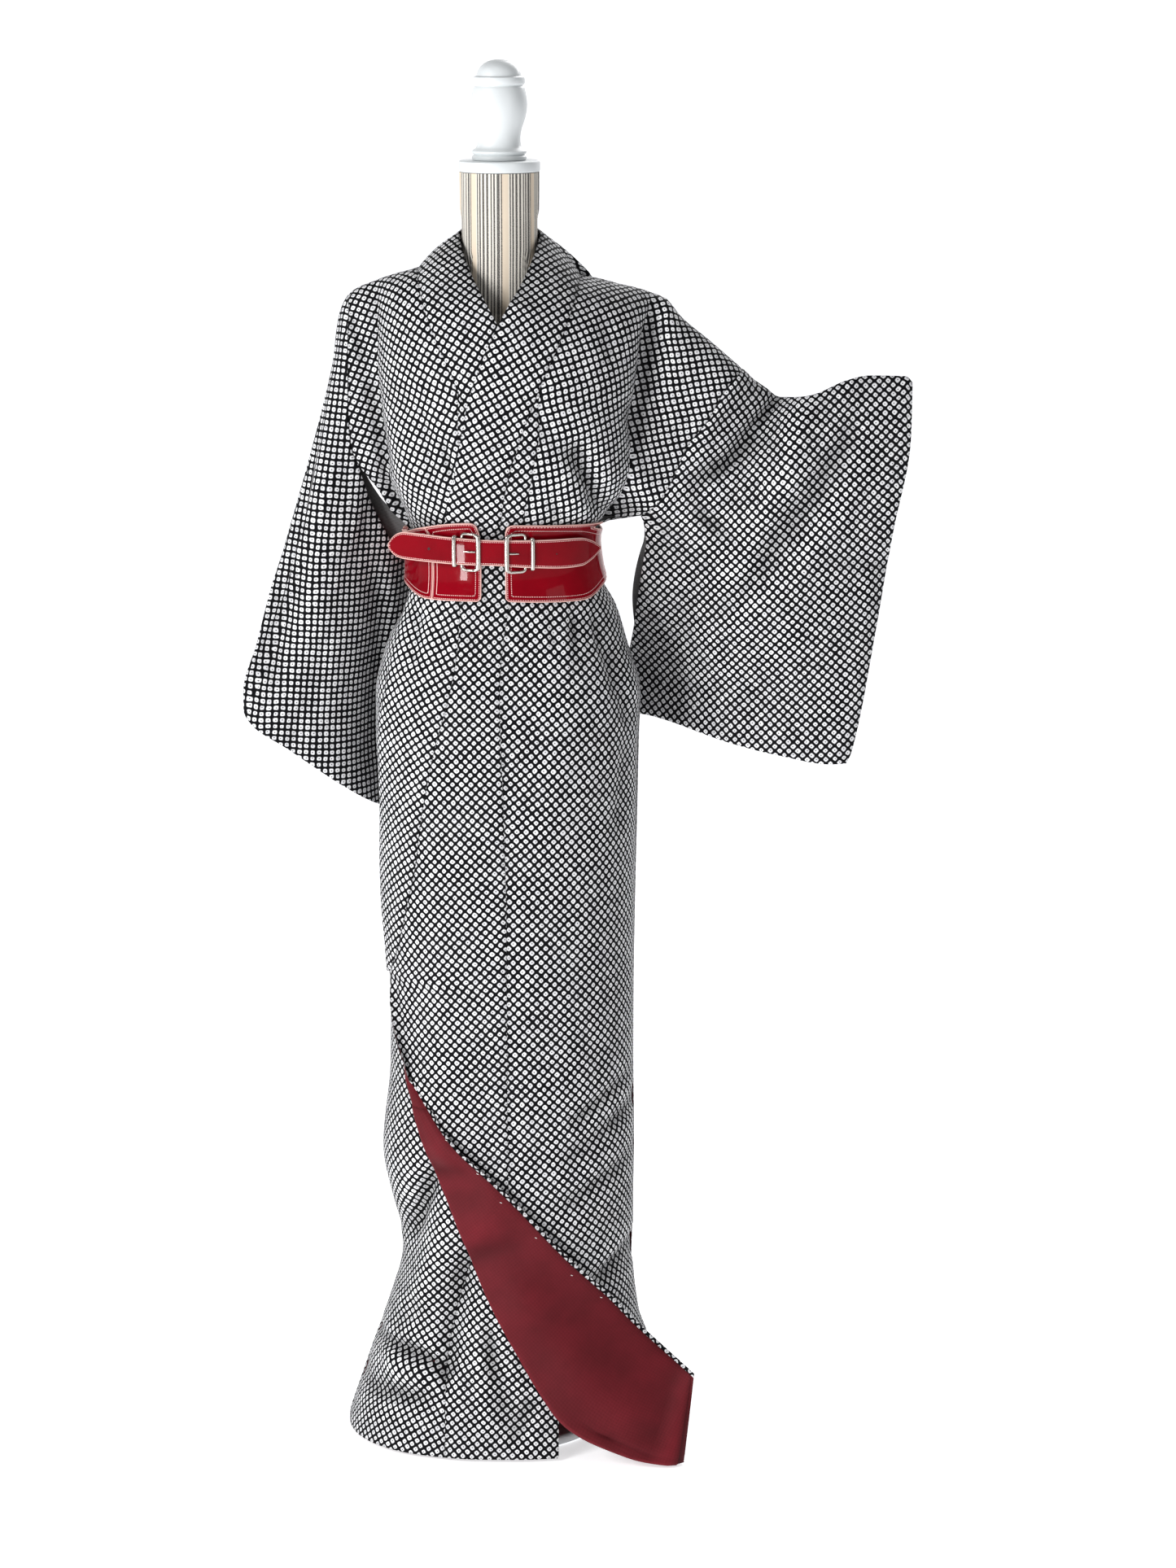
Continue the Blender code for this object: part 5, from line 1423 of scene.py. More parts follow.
def standUp(foot, footIn, top):
    facing = unit(foot - footIn)[:, None]
    away = unit(top * (1, 1, 0))[:, None]
    share = np.linspace(0, 1, collarSet["columns"] + 1)[None, :, None]
    level = foot[:, None] + (top - foot)[:, None] * share
    level = level + facing * (collarSet["swell"] * np.sin(math.pi * share))
    normal = unit(mix(facing, away, share))
    return level, level - normal * collarSet["thick"]


def collarFront(side):
    s = collarSet
    heights = [level for level in levels if level >= cornerSet["collarFoot"]]
    rows = refined(heights + archLevels(frontTurns), s["pitch"])
    lift = liftOf(side)
    seamX = collarSeamX(side, rows) - side * s["gap"]
    z = frontZ(rows, seamX)
    seam = frontAngle(side, seamX, rows)
    edgeX, edgeZ = side * collarEdge["x"](z), collarEdge["z"](z)
    edgeLevel = archHeight(edgeX, edgeZ)
    edgeAngle = bisected(
        lambda a: basePoint(a, edgeLevel, False)[..., 0] + lift * np.sin(np.radians(a)), edgeX
    )
    share = np.linspace(0, 1, s["columns"] + 1)
    angles = mix(seam[:, None], edgeAngle[:, None], share)
    heights = mix(rows[:, None], edgeLevel[:, None], share)
    outer = skin(angles, heights, False, lift + s["rise"])
    inner = skin(angles, heights, False, lift + s["rise"] - s["thick"])
    top = placesOf(collarStand, rows) * (side, 1, 1)
    stood, stoodIn = standUp(outer[:, 0], inner[:, 0], top)
    height, ease = s["stands"]
    share = smooth((rows - height) / ease)[:, None, None]
    return mix(outer, stood, share), mix(inner, stoodIn, share)


def collarBack(side, turns):
    s = collarSet
    rows, turns = np.array(archLevels(turns)), np.array(turns, float)
    x = np.maximum(neckLine["seamX"](turns) - 0.3, 0.0)
    angle = np.where(x > 0, side * angleAt(x, bodySet["chest"], 0), 0.0)
    lift = backLift(angle, liftOf(side), turns) + s["rise"]
    foot, footIn = skin(angle, rows, True, lift), skin(angle, rows, True, lift - s["thick"])
    return standUp(foot, footIn, placesOf(neckLine, turns) * (side, 1, 1))


def collarBand():
    left, right = collarFront(1), collarFront(-1)
    turns, last = collarSet["turns"], (collarSet["last"],)
    backLeft, backRight = collarBack(1, turns + last), collarBack(-1, turns[::-1])
    outer, inner = (
        np.concatenate([left[k], backLeft[k], backRight[k], right[k][::-1]]) for k in (0, 1)
    )
    normals, distance = unit(outer - inner), fromEdges(outer)
    outer = sewn(outer, normals, distance, 1.3, 3.0)
    inner = sewn(inner, -normals, distance, 0.8, 2.0)
    piece = clothWall("collarBand", outer, inner, laidFlat(outer), (komonSilk, komonSilk))
    return dress(piece, "komon_cloth", "collar")


collarPiece = collarBand()
print("collar made")

# Sleeves: flat bags, open at the hand above the cuff's seam and to the body below the armhole
sleeveSet = {
    "gap": 0.6,
    "sewnHalf": 0.5,
    "pitch": 6.0,
    "smoothed": 40,
    "attached": 0.47,
    "open": (0.52, 1.0),  # where the edge below the armhole is open
    "openRows": (7, 52),
    "openHalf": 5.0,
    "openEase": 0.05,
    "endRows": (0.0015, 0.004, 0.008, 0.99, 0.994, 0.998),
    "endRound": 0.008,
    "columns": (0, 0.004, 0.01, *np.linspace(0.02, 0.98, 70), 0.988, 0.994, 1.0),
    "hold": 0.07,  # how far along the sleeve follows the body's edge
    "armpit": {1: 1150.0, -1: 1212.0},
    # the leaning back layer shows its lining, a grey of painted shade, in the gap under the arm
    "lean": {1: 10.0, -1: 34.0},  # how far the back layer's free edge leans inwards
    "leanLong": 0.30,
    "slant": {1: 4.0, -1: 14.0},  # degrees from the floor to the rows' own cross line
    "slantAt": 0.6,
    "dip": (0.48, 3.0),
}
# Creases of the sleeves: half width, and places with the depth there
sleeveCreases = {
    1: (
        (16, ((352, 1302, 0), (341, 1286, 5), (323, 1247, 9), (281, 1220, 11), (233, 1202, 8),
              (214, 1198, 0))),
        (17, ((426, 1296, 0), (414, 1247, 7), (384, 1187, 11), (353, 1138, 12), (311, 1084, 10),
              (275, 1048, 6), (258, 1026, 0))),
        (12, ((222, 1206, 0), (227, 1190, 5), (245, 1156, 8), (278, 1129, 5), (302, 1116, 0))),
        (20, ((430, 1304, 0), (396, 1256, -6), (358, 1202, -8), (320, 1163, -7), (286, 1144, 0))),
        (22, ((250, 1110, 0), (226, 1040, 4), (214, 960, 0))),
        (26, ((330, 1010, 0), (312, 930, 4), (306, 870, 0))),
    ),
    -1: (
        (12, ((-190, 1325, 0), (-184, 1280, 5), (-174, 1216, 6), (-172, 1180, 0))),
        (18, ((-200, 1240, 0), (-207, 1130, -5), (-214, 1000, -4), (-220, 900, 0))),
        (16, ((-150, 1150, 0), (-162, 1050, 8), (-172, 960, 8), (-168, 830, 0))),
        (20, ((-270, 1080, 0), (-292, 980, 4), (-306, 900, 0))),
    ),
}


def sleeveFoldDepth(side, x, z):
    total = straightDepth(x, z, sleeveFolds[side], 0.15, 0.4)
    wave = 0.9 * np.sin(x / 23 + z / 60) * np.sin(z / 90 + side)
    return total + bentDepth(x, z, sleeveCreases[side]) + wave


def sleeveMiddle(side, s, t, folded=True):
    sides = sleeves[side]
    s, t = together(s, t)
    sw, tw, ends = s[..., None], t[..., None], np.arange(2.0)
    across = mix(placesOf(sides["seam"], t), placesOf(sides["cuff"], t), sw)
    down = mix(placesOf(sides["top"], s), placesOf(sides["bottom"], s), tw)
    high, low = (mix(*placesOf(sides[name], ends), sw) for name in ("top", "bottom"))
    middle = across + down - mix(high, low, tw)
    if folded:
        inside = np.minimum(1, 6.4 * s * (1 - s))
        middle[..., 1] += sleeveFoldDepth(side, middle[..., 0], middle[..., 2]) * inside
    return middle


# Which way the sleeve's outer layer faces, taken from its cloth before it is folded
def sleeveFacing(side, s, t):
    step = 0.01
    along = sleeveMiddle(side, np.minimum(s + step, 1), t, False)
    along = along - sleeveMiddle(side, np.maximum(s - step, 0), t, False)
    down = sleeveMiddle(side, s, np.minimum(t + step, 1), False)
    down = down - sleeveMiddle(side, s, np.maximum(t - step, 0), False)
    facing = unit(np.cross(along, down)) * -side
    for _ in range(sleeveSet["smoothed"]):
        facing[1:-1] = facing[:-2] + 2 * facing[1:-1] + facing[2:]
        facing[:, 1:-1] = facing[:, :-2] + 2 * facing[:, 1:-1] + facing[:, 2:]
        facing = unit(facing)
    return unit(mix(facing, np.array((0.0, -1.0, 0.0)), s[..., None] ** 3)), down


def sleeveHalf(side, s, t, seamHalf):
    sides = sleeves[side]
    arch = np.maximum(0, np.sin(math.pi * t)) ** 0.6
    body = sides["half"] * arch * np.maximum(0, np.sin(math.pi * s)) ** 0.7
    opening = sides["cuffOpen"]
    wide = np.sin(math.pi * np.clip(t / opening, 0, 1)) ** 0.6
    cuff = np.where(t < opening, sides["cuffHalf"] * wide, 0)
    return sleeveSet["sewnHalf"] + body + cuff * s**3 + seamHalf * (1 - s) ** 3


def sleevePiece(name, side, node):
    values, thick, lift = sleeveSet, clothSet["thick"], liftOf(side)
    armpit = values["armpit"][side]
    rows = archLevels(frontTurns)[::-1] + [level for level in levels[::-1] if level >= armpit]
    rows = refined(rows, values["pitch"])
    own = backLift(side * 90.0, lift, overShoulder(rows))
    lines = {
        "f": skin(side * 90.0, rows, False, lift),
        "b": skin(side * 90.0, rows, True, own),
        "fi": skin(side * 90.0, rows, False, lift - thick),
        "bi": skin(side * 90.0, rows, True, own - thick),
    }
    far = pathLengths(lines["f"][:, (0, 2)])
    places = values["attached"] * far / far[-1]
    (near, last), (above, under) = values["open"], values["openRows"]
    lower = np.r_[np.linspace(places[-1], near, above)[1:], np.linspace(near, last, under)[1:]]
    t = np.unique(np.r_[places, lower, values["endRows"]])
    edge = {key: drawn(t, places, line) for key, line in lines.items()}
    s = np.array(values["columns"])[:, None]
    past = t - places[-1]
    seamHalf = np.maximum((edge["b"][:, 1] - edge["f"][:, 1]) / 2 - thick, 0)
    ease = smooth(past / values["openEase"])
    seamHalf = np.where(past > 0, mix(seamHalf, values["openHalf"], ease), seamHalf)
    middle = sleeveMiddle(side, s, t)
    # the layers keep their distance across the folds, which both of them follow
    facing, down = sleeveFacing(side, s, t)
    half = sleeveHalf(side, s, t, seamHalf)[..., None]
    # the two ends of the bag, where its layers meet, are rounded over the cloth's thickness
    cap = np.minimum(1, np.minimum(t, 1 - t) / values["endRound"])
    wide = (thick * np.sqrt(1 - (1 - cap) ** 2))[:, None]
    end = unit(down) * (thick * (1 - cap) * np.where(t < 0.5, -1, 1))[:, None]
    half = half * np.where(t < 0.5, np.minimum(1, t / (values["endRound"] / 2)), 1)[:, None]
    lean = np.sin(math.pi * np.clip(past / values["leanLong"], 0, 1)) * values["lean"][side]
    leant = (lean[:, None] * (-side, 0.25, 0)) * (1 - s[..., None]) ** 5
    faces = {
        "f": middle + facing * (half + wide) + end,
        "fi": middle + facing * half,
        "b": middle - facing * (half + wide) + end + leant,
        "bi": middle - facing * half + leant,
    }
    away = np.array((side * values["gap"], 0, 0))
    hold = (1 - smooth(s[:, 0] / values["hold"]))[:, None, None]
    reach = smooth((near - t) / (near - places[-1]))[:, None]
    for key, own in faces.items():
        faces[key] = own + ((edge[key] + away - own[0]) * reach)[None] * hold
    outer = np.concatenate([faces["f"], faces["b"][:, -2:0:-1]], axis=1)
    inner = np.concatenate([faces["fi"], faces["bi"][:, -2:0:-1]], axis=1)
    half = laidFlat(faces["f"], (6, 6))
    # the cloth's grain is turned to the slant that the photo shows at the sleeve's middle
    i, j = len(s) // 2, int(np.searchsorted(t, values["slantAt"]))
    shown = (faces["f"][i + 6, j] - faces["f"][i, j]) @ (1, 0, 1j)
    turned = np.angle(half[i + 6, j] - half[i, j]) - np.angle(shown)
    half = half * np.exp(-1j * (turned + math.radians(values["slant"][side])))
    flat = np.concatenate([half, half[:, -2:0:-1]], axis=1)
    deep, wide = values["dip"]
    dip = deep * np.exp(-((fromEdges(faces["f"], "ns") / wide) ** 2))
    dip = np.concatenate([dip, dip[:, -2:0:-1]], axis=1)[..., None]
    outer = mix(outer, inner, dip)
    piece = clothWall(name, outer, inner, flat, (komonSilk, liningSilk), ring=True)
    return dress(piece, "komon_cloth", node)


sleeveLeft = sleevePiece("sleeveLeft", 1, "sleeve_left")
sleeveRight = sleevePiece("sleeveRight", -1, "sleeve_right")
print("sleeves made")

# The belt: stiff patent leather with rounded rims
beltSet = {
    "inner": 9.3,
    "outer": 11.8,
    "rim": 0.9,
    "corner": 6.0,
    "columns": 60,
    "groove": 0.7,
    "fronts": (-22.0, 7.0),
    "seamX": -80.5,
    "side": 84.0,
    "level": 1126.0,
    "back": (1080.0, 1140.0),
    "backShell": (1079.0, 62.0),
    "backRows": 9,
    "backCorner": 2.0,
}


# Places along a length, close together near both ends so that the rims can be round
def rimmed(length, pitch, rim):
    near = np.array((0, 0.12, 0.35, 0.65, 1.0)) * rim
    count = max(2, int(length / pitch))
    inside = np.linspace(rim, length - rim, count + 1)[1:-1]
    return np.r_[near, inside, length - near[::-1]]


def rimDrop(distance, rim):
    t = np.clip(1 - distance / rim, 0, 1)
    return rim * (1 - np.sqrt(1 - t**2))


def beltPoint(angle, height, back, offset):
    facing = outward(angle, height, back)
    level = unit(facing * (1, 1, 0.3))
    return basePoint(angle, height, back) + level * np.asarray(offset)[..., None]


# One length of leather between two faces, with round corners; seam is a sewn groove's place
def leatherPiece(name, node, face, length, edgesAt, material, rim, cornerRound, seam=None):
    u = rimmed(length, 2.4, rim)
    if seam is not None:
        u = np.unique(np.r_[u, seam + np.array((-1.8, -1.2, -0.8, -0.4, 0, 0.4, 0.8, 1.2, 1.8))])
    foot, top = edgesAt(u)
    fromEnd = np.minimum(u, length - u)
    lost = rimDrop(fromEnd, cornerRound)
    foot, top = foot + lost, top - lost
    tall = float(np.mean(top - foot))
    v = rimmed(tall, 2.6, rim) / tall
    heights = mix(foot[:, None], top[:, None], v)
    fromSide = np.minimum(v, 1 - v) * (top - foot)[:, None]
    distance = np.minimum(fromSide, fromEnd[:, None])
    drop = rimDrop(distance, rim)
    outer, inner = face(u[:, None], heights, -drop), face(u[:, None], heights, None)
    run = np.where(fromSide <= fromEnd[:, None], u[:, None], heights)
    if seam is not None:
        distance = np.minimum(distance, 0.6 + abs(u - seam)[:, None])
    values = {"edge": distance / 1000, "run": np.broadcast_to(run, distance.shape) / 1000}
    flat = u[:, None] + 1j * heights
    piece = clothWall(name, outer, inner, flat, (material, material), values=values)
    return dress(piece, "patent_leather", node)


def beltAngle(x):
    return float(angleAt(x, beltSet["level"], beltSet["outer"]))


# A front length of the belt between two angles, with a sewn groove where seamX says
def beltLength(name, node, start, end, seamX=None):
    s = beltSet
    angles = np.linspace(start, end, s["columns"])
    along = pathLengths(beltPoint(angles, s["level"], False, s["outer"])[:, :2])
    seam = None if seamX is None else float(np.interp(beltAngle(seamX), angles, along))

    def edgesAt(u):
        turn = np.interp(u, along, angles)
        return beltEdge["foot"](turn), beltEdge["top"](turn)

    def face(u, heights, drop):
        lift = s["inner"] if drop is None else s["outer"] + drop
        if seam is not None and drop is not None:
            lift = lift - s["groove"] * np.exp(-(((u - seam) / s["groove"]) ** 2))
        turn = np.interp(np.broadcast_to(u, heights.shape), along, angles)
        return beltPoint(turn, heights, False, np.broadcast_to(lift, heights.shape))

    return leatherPiece(
        name, node, face, along[-1], edgesAt, patentPanel, s["rim"], s["corner"], seam
    )


side, (rightEnd, leftEnd) = beltSet["side"], beltSet["fronts"]
beltLength("beltRight", "belt_panel_right", -side, beltAngle(rightEnd), beltSet["seamX"])
beltLength("beltLeft", "belt_panel_left", beltAngle(leftEnd), side)


# The back length turns from the front's angles to the back's at each side
def beltBehind():
    s = beltSet
    corner = [(s["side"] + 0.3, False), (87, False), (89.9, False)]
    corner += [(a, True) for a in (89.9, 86, 82, 76)]
    stations = corner + [(a, True) for a in range(72, -73, -3)]
    stations += [(-a, back) for a, back in corner[::-1]]
    (low, high), (foot, tall) = s["back"], s["backShell"]
    rows = np.linspace(0, 1, s["backRows"])

    def shell(heights, lift):
        lifts = np.full(np.shape(heights), lift)
        return np.array([beltPoint(a, heights, back, lifts) for a, back in stations])

    along = pathLengths(shell(s["level"], s["outer"])[:, :2])
    outer, inner = (shell(foot + tall * rows, s[key]) for key in ("outer", "inner"))

    def edgesAt(u):
        ease = smooth(np.minimum(u, along[-1] - u) / 12)
        return mix(foot, low, ease), mix(foot + tall, high, ease)

    def face(u, heights, drop):
        share = (heights - foot) / tall
        near, far = (
            np.array([drawn(t, rows, row) for t, row in zip(share, drawn(u[:, 0], along, side))])
            for side in (inner, outer)
        )
        return near if drop is None else far + unit(far - near) * drop[..., None]

    return leatherPiece(
        "beltBack", "belt_back", face, along[-1], edgesAt, patentPanel, s["rim"], s["backCorner"]
    )


beltBehind()
print("belt made")

# The strap, its buckles, pins and loops
strapSet = {
    "inner": 19.6,
    "outer": 22.1,
    "ends": (-132, 118),
    "leaves": -72.0,
    "level": 1127.0,
    "rim": 0.8,
    "corner": 1.2,
    "swell": (1108.0, 36.0, 0.5),
    "wire": 1.8,  # the buckles' wire, and where its bow lies
    "wireCorner": 4.0,
    "bow": 17.2,
}


def alongStrap(x, lift, z):
    x, lift, z = together(x, lift, z)
    leaves, inside = strapSet["leaves"], strapSet["inner"]
    angle = angleAt(np.maximum(x, leaves), strapSet["level"], inside)
    base = basePoint(angle, strapSet["level"], False)
    facing = unit(outward(angle, strapSet["level"], False) * (1, 1, 0))
    place = base + facing * lift[..., None]
    onward = np.stack([facing[..., 1], -facing[..., 0], 0 * x], axis=-1)
    onward = onward * np.where(onward[..., :1] > 0, -1, 1)
    reach = (x - (base + facing * inside)[..., 0]) / onward[..., 0]
    place = place + onward * np.where(x < leaves, reach, 0)[..., None]
    place[..., 2] = z
    return place


def strapPiece():
    s = strapSet
    x = np.linspace(*s["ends"], 400)
    along = pathLengths(alongStrap(x, s["outer"], s["level"]))
    low, tall, deep = s["swell"]

    def edgesAt(u):
        at = np.interp(u, along, x)
        return strapLine["foot"](at), strapLine["top"](at)

    def face(u, heights, drop):
        lift = s["inner"] if drop is None else s["outer"] + drop
        at = np.interp(np.broadcast_to(u, heights.shape), along, x)
        swell = deep * np.sin(np.clip((heights - low) / tall, 0, 1) * math.pi)
        lift = lift + (0 if drop is None else swell)
        return alongStrap(at, np.broadcast_to(lift, heights.shape), heights)

    return leatherPiece(
        "beltStrap", "belt_strap", face, along[-1], edgesAt, patentStrap, s["rim"], s["corner"]
    )


strapPiece()

# Punched holes, by their place and radius
holes = {"places": ((-82.0, 1129.5, 1.7), (68.0, 1125.0, 0.9)), "deep": 0.25}


def strapHoles():
    parts = []
    lift = strapSet["outer"] + 0.5
    for x, z, radius in holes["places"]:
        middle, near = alongStrap(x, lift, z), alongStrap(x + 1, lift, z)
        turn = math.atan2(near[1] - middle[1], near[0] - middle[0])
        bpy.ops.mesh.primitive_cylinder_add(
            vertices=28,
            radius=radius / 1000,
            depth=holes["deep"] / 1000,
            location=middle / 1000,
            rotation=(math.pi / 2, 0, turn),
        )
        parts.append(bpy.context.object)
    return joined("strapHoles", parts, punchedHole, "patent_leather")


def joined(name, parts, material, slotName, *nodes):
    selectOnly(*parts)
    bpy.ops.object.transform_apply(location=True, rotation=True, scale=True)
    if len(parts) > 1:
        bpy.ops.object.join()
    piece = bpy.context.object
    piece.name = name
    piece.data.name = name
    piece.data.materials.clear()
    piece.data.materials.append(material)
    bpy.ops.object.transform_apply(location=True, rotation=True, scale=True)
    bpy.ops.object.shade_smooth_by_angle(angle=math.radians(40))
    return dress(piece, slotName, *nodes)


strapHoles()

# Buckles by their bar, bow, foot and top, pins by their start, end and height, loops by place
buckles = {
    "buckleRight": ("buckle_right", -25, -46.5, 1106.5, 1149.5),
    "buckleLeft": ("buckle_left", 9.5, 32.5, 1104.5, 1149.0),
}
pins = {
    "prongRight": ("prong_right", -28.6, -42, 1129),
    "prongLeft": ("prong_left", 13.1, 24, 1127),
}
loopSet = {"past": 2.2, "over": 1.8, "ease": 1.6, "wire": 1.5}
loops = {"loopRight": ("loop_right", -53.5), "loopLeft": ("loop_left", 40.5)}


# The corners of a path cut off again and again until it is round
def rounded(path, closed, times=3):
    path = np.asarray(path, float)
    for _ in range(times):
        after = np.roll(path, -1, axis=0)
        cut = np.stack([0.75 * path + 0.25 * after, 0.25 * path + 0.75 * after], 1)
        if closed:
            path = cut.reshape(-1, 3)
        else:
            path = np.concatenate([path[:1], cut[:-1].reshape(-1, 3)[1:-1], path[-1:]])
    return path


# Wire, as a closed or open path with a round section, made as a curve and turned into a mesh
def wirePiece(name, node, path, radius, closed, widths=((0, 1), (1, 1))):
    path = rounded(path, closed)
    curve = bpy.data.curves.new(name, "CURVE")
    curve.dimensions = "3D"
    curve.bevel_depth = radius / 1000
    curve.bevel_resolution = 6
    curve.use_fill_caps = not closed
    spline = curve.splines.new("POLY")
    spline.points.add(len(path) - 1)
    spline.use_cyclic_u = closed
    for k, (point, place) in enumerate(zip(spline.points, path)):
        point.co = (*(place / 1000), 1)
        point.radius = float(np.interp(k / (len(path) - 1), *widths))
    selectOnly(linked(name, curve))
    bpy.ops.object.convert(target="MESH")
    return joined(name, [bpy.context.object], nickelPlate, "buckle_metal", node)


def buckleWire(name, node, bar, bow, foot, top):
    low, corner = strapSet["bow"], strapSet["wireCorner"]
    over = strapSet["outer"] + 0.3 + strapSet["wire"]
    way = corner if bow > bar else -corner
    halfway = mix(foot, top, 0.5)

    # from the bar to the bow, round the end at height z
    def roundEnd(z, up):
        return [
            (bar, z - up, over),
            (bar + way * 0.3, z - up * 0.3, over - 0.3),
            (bar + way, z, over - 1.2),
            (mix(bar, bow, 0.5), z, mix(over, low, 0.5)),
            (bow - way, z, low + 1.0),
            (bow - way * 0.3, z - up * 0.3, low + 0.2),
            (bow, z - up, low),
        ]

    end = roundEnd(foot, -corner)
    places = end[:1] + [(bar, halfway, over)] + roundEnd(top, corner)
    places += [(bow, halfway, low)] + end[:0:-1]
    path = [alongStrap(x, lift, z) for x, z, lift in places]
    return widened(wirePiece(name, node, path, strapSet["wire"], True), bar)


# The bar and the loops are flat bands: their wire is drawn out along the strap
def widened(piece, x, share=0.55, flat=1.9, ease=4.2):
    places = np.zeros(len(piece.data.vertices) * 3)
    piece.data.vertices.foreach_get("co", places)
    places = places.reshape(-1, 3)
    away = places[:, 0] * 1000 - x
    away = away * (1 + share * (1 - smooth((abs(away) - flat) / ease)))
    places[:, 0] = (x + away) / 1000
    piece.data.vertices.foreach_set("co", places.ravel())
    piece.data.update()
    return piece


def strapLoop(name, node, x):
    s = loopSet
    low, high = float(strapLine["foot"](x)) - s["past"], float(strapLine["top"](x)) + s["past"]
    over, under, ease = strapSet["outer"] + s["over"], strapSet["bow"], s["ease"]
    path = [(over, low + ease), (over, high - ease), (over - ease, high), (under + ease, high)]
    path += [(under, high - ease), (under, low + ease), (under + ease, low), (over - ease, low)]
    path = [alongStrap(x, lift, z) for lift, z in path]
    return widened(wirePiece(name, node, path, s["wire"], True), x)


def strapPin(name, node, start, end, z):
    path = [
        alongStrap(mix(start, end, t), strapSet["outer"] + 1.5 + 0.4 * math.sin(math.pi * t), z)
        for t in (0, 0.2, 0.4, 0.6, 0.8, 1)
    ]
    return wirePiece(name, node, path, 1.25, False, ((0, 0.7, 1), (1.0, 0.95, 0.6)))


for name, row in buckles.items():
    buckleWire(name, *row)
for name, row in pins.items():
    strapPin(name, *row)
for name, row in loops.items():
    strapLoop(name, *row)
print("buckles made")

# The dress form: a padded torso under striped ticking, a white cap and finial, a pole and a base
formSet = {
    "clear": 12.0,
    "rings": (840.0, 940, 1065, 1135, 1225),
    "turns": 144,
    "shoulder": ((0.03, 0.42), (0.09, 0.70), (0.18, 0.88), (0.32, 0.97), (0.52, 1.0), (0.76, 1.0)),
    "drop": 3.0,
    "throat": 45.0,
    "neck": ((45, 1474), (45, 1508), (47, 1522), (47.5, 1565)),
    "stripeRadius": 47.0,
}


def clothHeight(x, y):
    middle, power = bodySet["middle"], bodySet["round"]
    chest = bodySet["chest"]
    right, left = float(sections["right"](chest)), float(sections["left"](chest))
    reach = np.where(x > middle, right - middle, middle - left)
    ridgeY = bodySet["ridgeY"]
    depth = np.where(y > ridgeY, float(sections["back"](chest)), float(sections["front"](chest)))
    sine = np.minimum(0.999, abs(x - middle) / reach) ** (1 / power)
    edge = np.maximum(24.0, depth * np.sqrt(1 - sine**2) ** power)
    run = np.minimum(1.0, abs(y - ridgeY) / (edge + np.where(y < ridgeY, ridgeY, -ridgeY)))
    rise = np.sqrt(np.maximum(0.0, 1 - run ** (2 / power))) ** power
    return mix(chest, ridgeHeights["height"](x), rise)


# A ring of the torso at each height, from its foot up over the shoulders to the neck
def torsoRings(sine, cosine):
    s, power, middle = formSet, bodySet["round"], bodySet["middle"]
    rings = []
    for height in refined((*s["rings"], bodySet["chest"]), 9.0):
        reach = np.where(sine > 0, sections["right"](height), sections["left"](height))
        reach = abs(reach - middle) - s["clear"]
        depth = np.where(cosine < 0, sections["back"](height), sections["front"](height))
        x = middle + np.sign(sine) * reach * abs(sine) ** power
        y = -np.sign(cosine) * (depth - s["clear"]) * abs(cosine) ** power
        rings.append(stack(x, y, height))
    chest = rings[-1]
    radii, heights = zip(*s["neck"])
    neck = stack(radii[0] * sine, -radii[0] * cosine, heights[0])
    shares, rises = zip(*s["shoulder"])
    rises = makeCurve((0.0, *shares, 0.8), (0.0, *rises, 1.0))
    for inward in np.r_[np.linspace(0, 0.1, 7)[1:], np.linspace(0.1, 0.76, 22)[1:]]:
        place = mix(chest, neck, inward)
        throat = s["throat"] * np.maximum(0, cosine) * smooth(inward * 1.5)
        top = clothHeight(place[:, 0], place[:, 1]) - s["drop"] - throat
        rings.append(stack(place[:, 0], place[:, 1], mix(bodySet["chest"], top, rises(inward))))
    for height in np.linspace(heights[0], heights[-1], 26):
        r = float(makeCurve(heights, radii)(height))
        rings.append(stack(r * sine, -r * cosine, height))
    return np.array(rings)


def torso():
    s = formSet
    turn = np.linspace(0, 2 * math.pi, s["turns"], endpoint=False)
    sine, cosine = np.sin(turn), np.cos(turn)
    grid = torsoRings(sine, cosine)
    count, turns = grid.shape[:2]
    points = grid.reshape(-1, 3)
    # the bottom is a padded disc
    under = (bodySet["middle"], 0.0, s["rings"][0])
    bottom = [mix(grid[0], under, t) for t in (0.06, 0.3, 0.6)]
    bottom[0][:, 2] = s["rings"][0]
    index = len(points)
    extra = np.concatenate(bottom)
    centre = index + len(extra)
    points = np.concatenate([points, extra, [under], [(0.0, 0.0, s["neck"][-1][1])]])
    faces = gridFaces(count, turns, 0, ring=True).tolist()
    around = np.arange(turns)
    loops = [around] + [index + k * turns + around for k in range(len(bottom))]
    for near, far in zip(loops, loops[1:]):
        faces += stripFaces(near, far).tolist()
    last = np.r_[loops[-1], loops[-1][:1]]
    faces += [(int(a), int(b), centre) for a, b in zip(last[1:], last[:-1])]
    top = (count - 1) * turns + np.r_[around, 0]
    faces += [(int(a), int(b), centre + 1) for a, b in zip(top[:-1], top[1:])]
    # the stripes run upright, so a point's place across them is its turn times the neck's radius
    radius = s["neck"][0][0]
    across = points[: count * turns, 0]
    held = np.clip(across / radius, -1, 1)
    ahead = np.tile(cosine >= 0, count)
    around = np.where(ahead, 0, np.where(across >= 0, math.pi, -math.pi))
    around = around + np.where(ahead, 1, -1) * np.arcsin(held)
    u = around * s["stripeRadius"] + np.where(ahead, 1, -1) * (across - held * radius)
    uv = np.zeros((len(points), 2))
    uv[: count * turns] = np.stack([u, points[: count * turns, 2]], -1) / 1000
    piece = makePiece("formTorso", points, faces, (tickingCotton,), uv=uv, smoothing=40)
    dress(piece, "ticking", "form_body")
    return piece


torso()

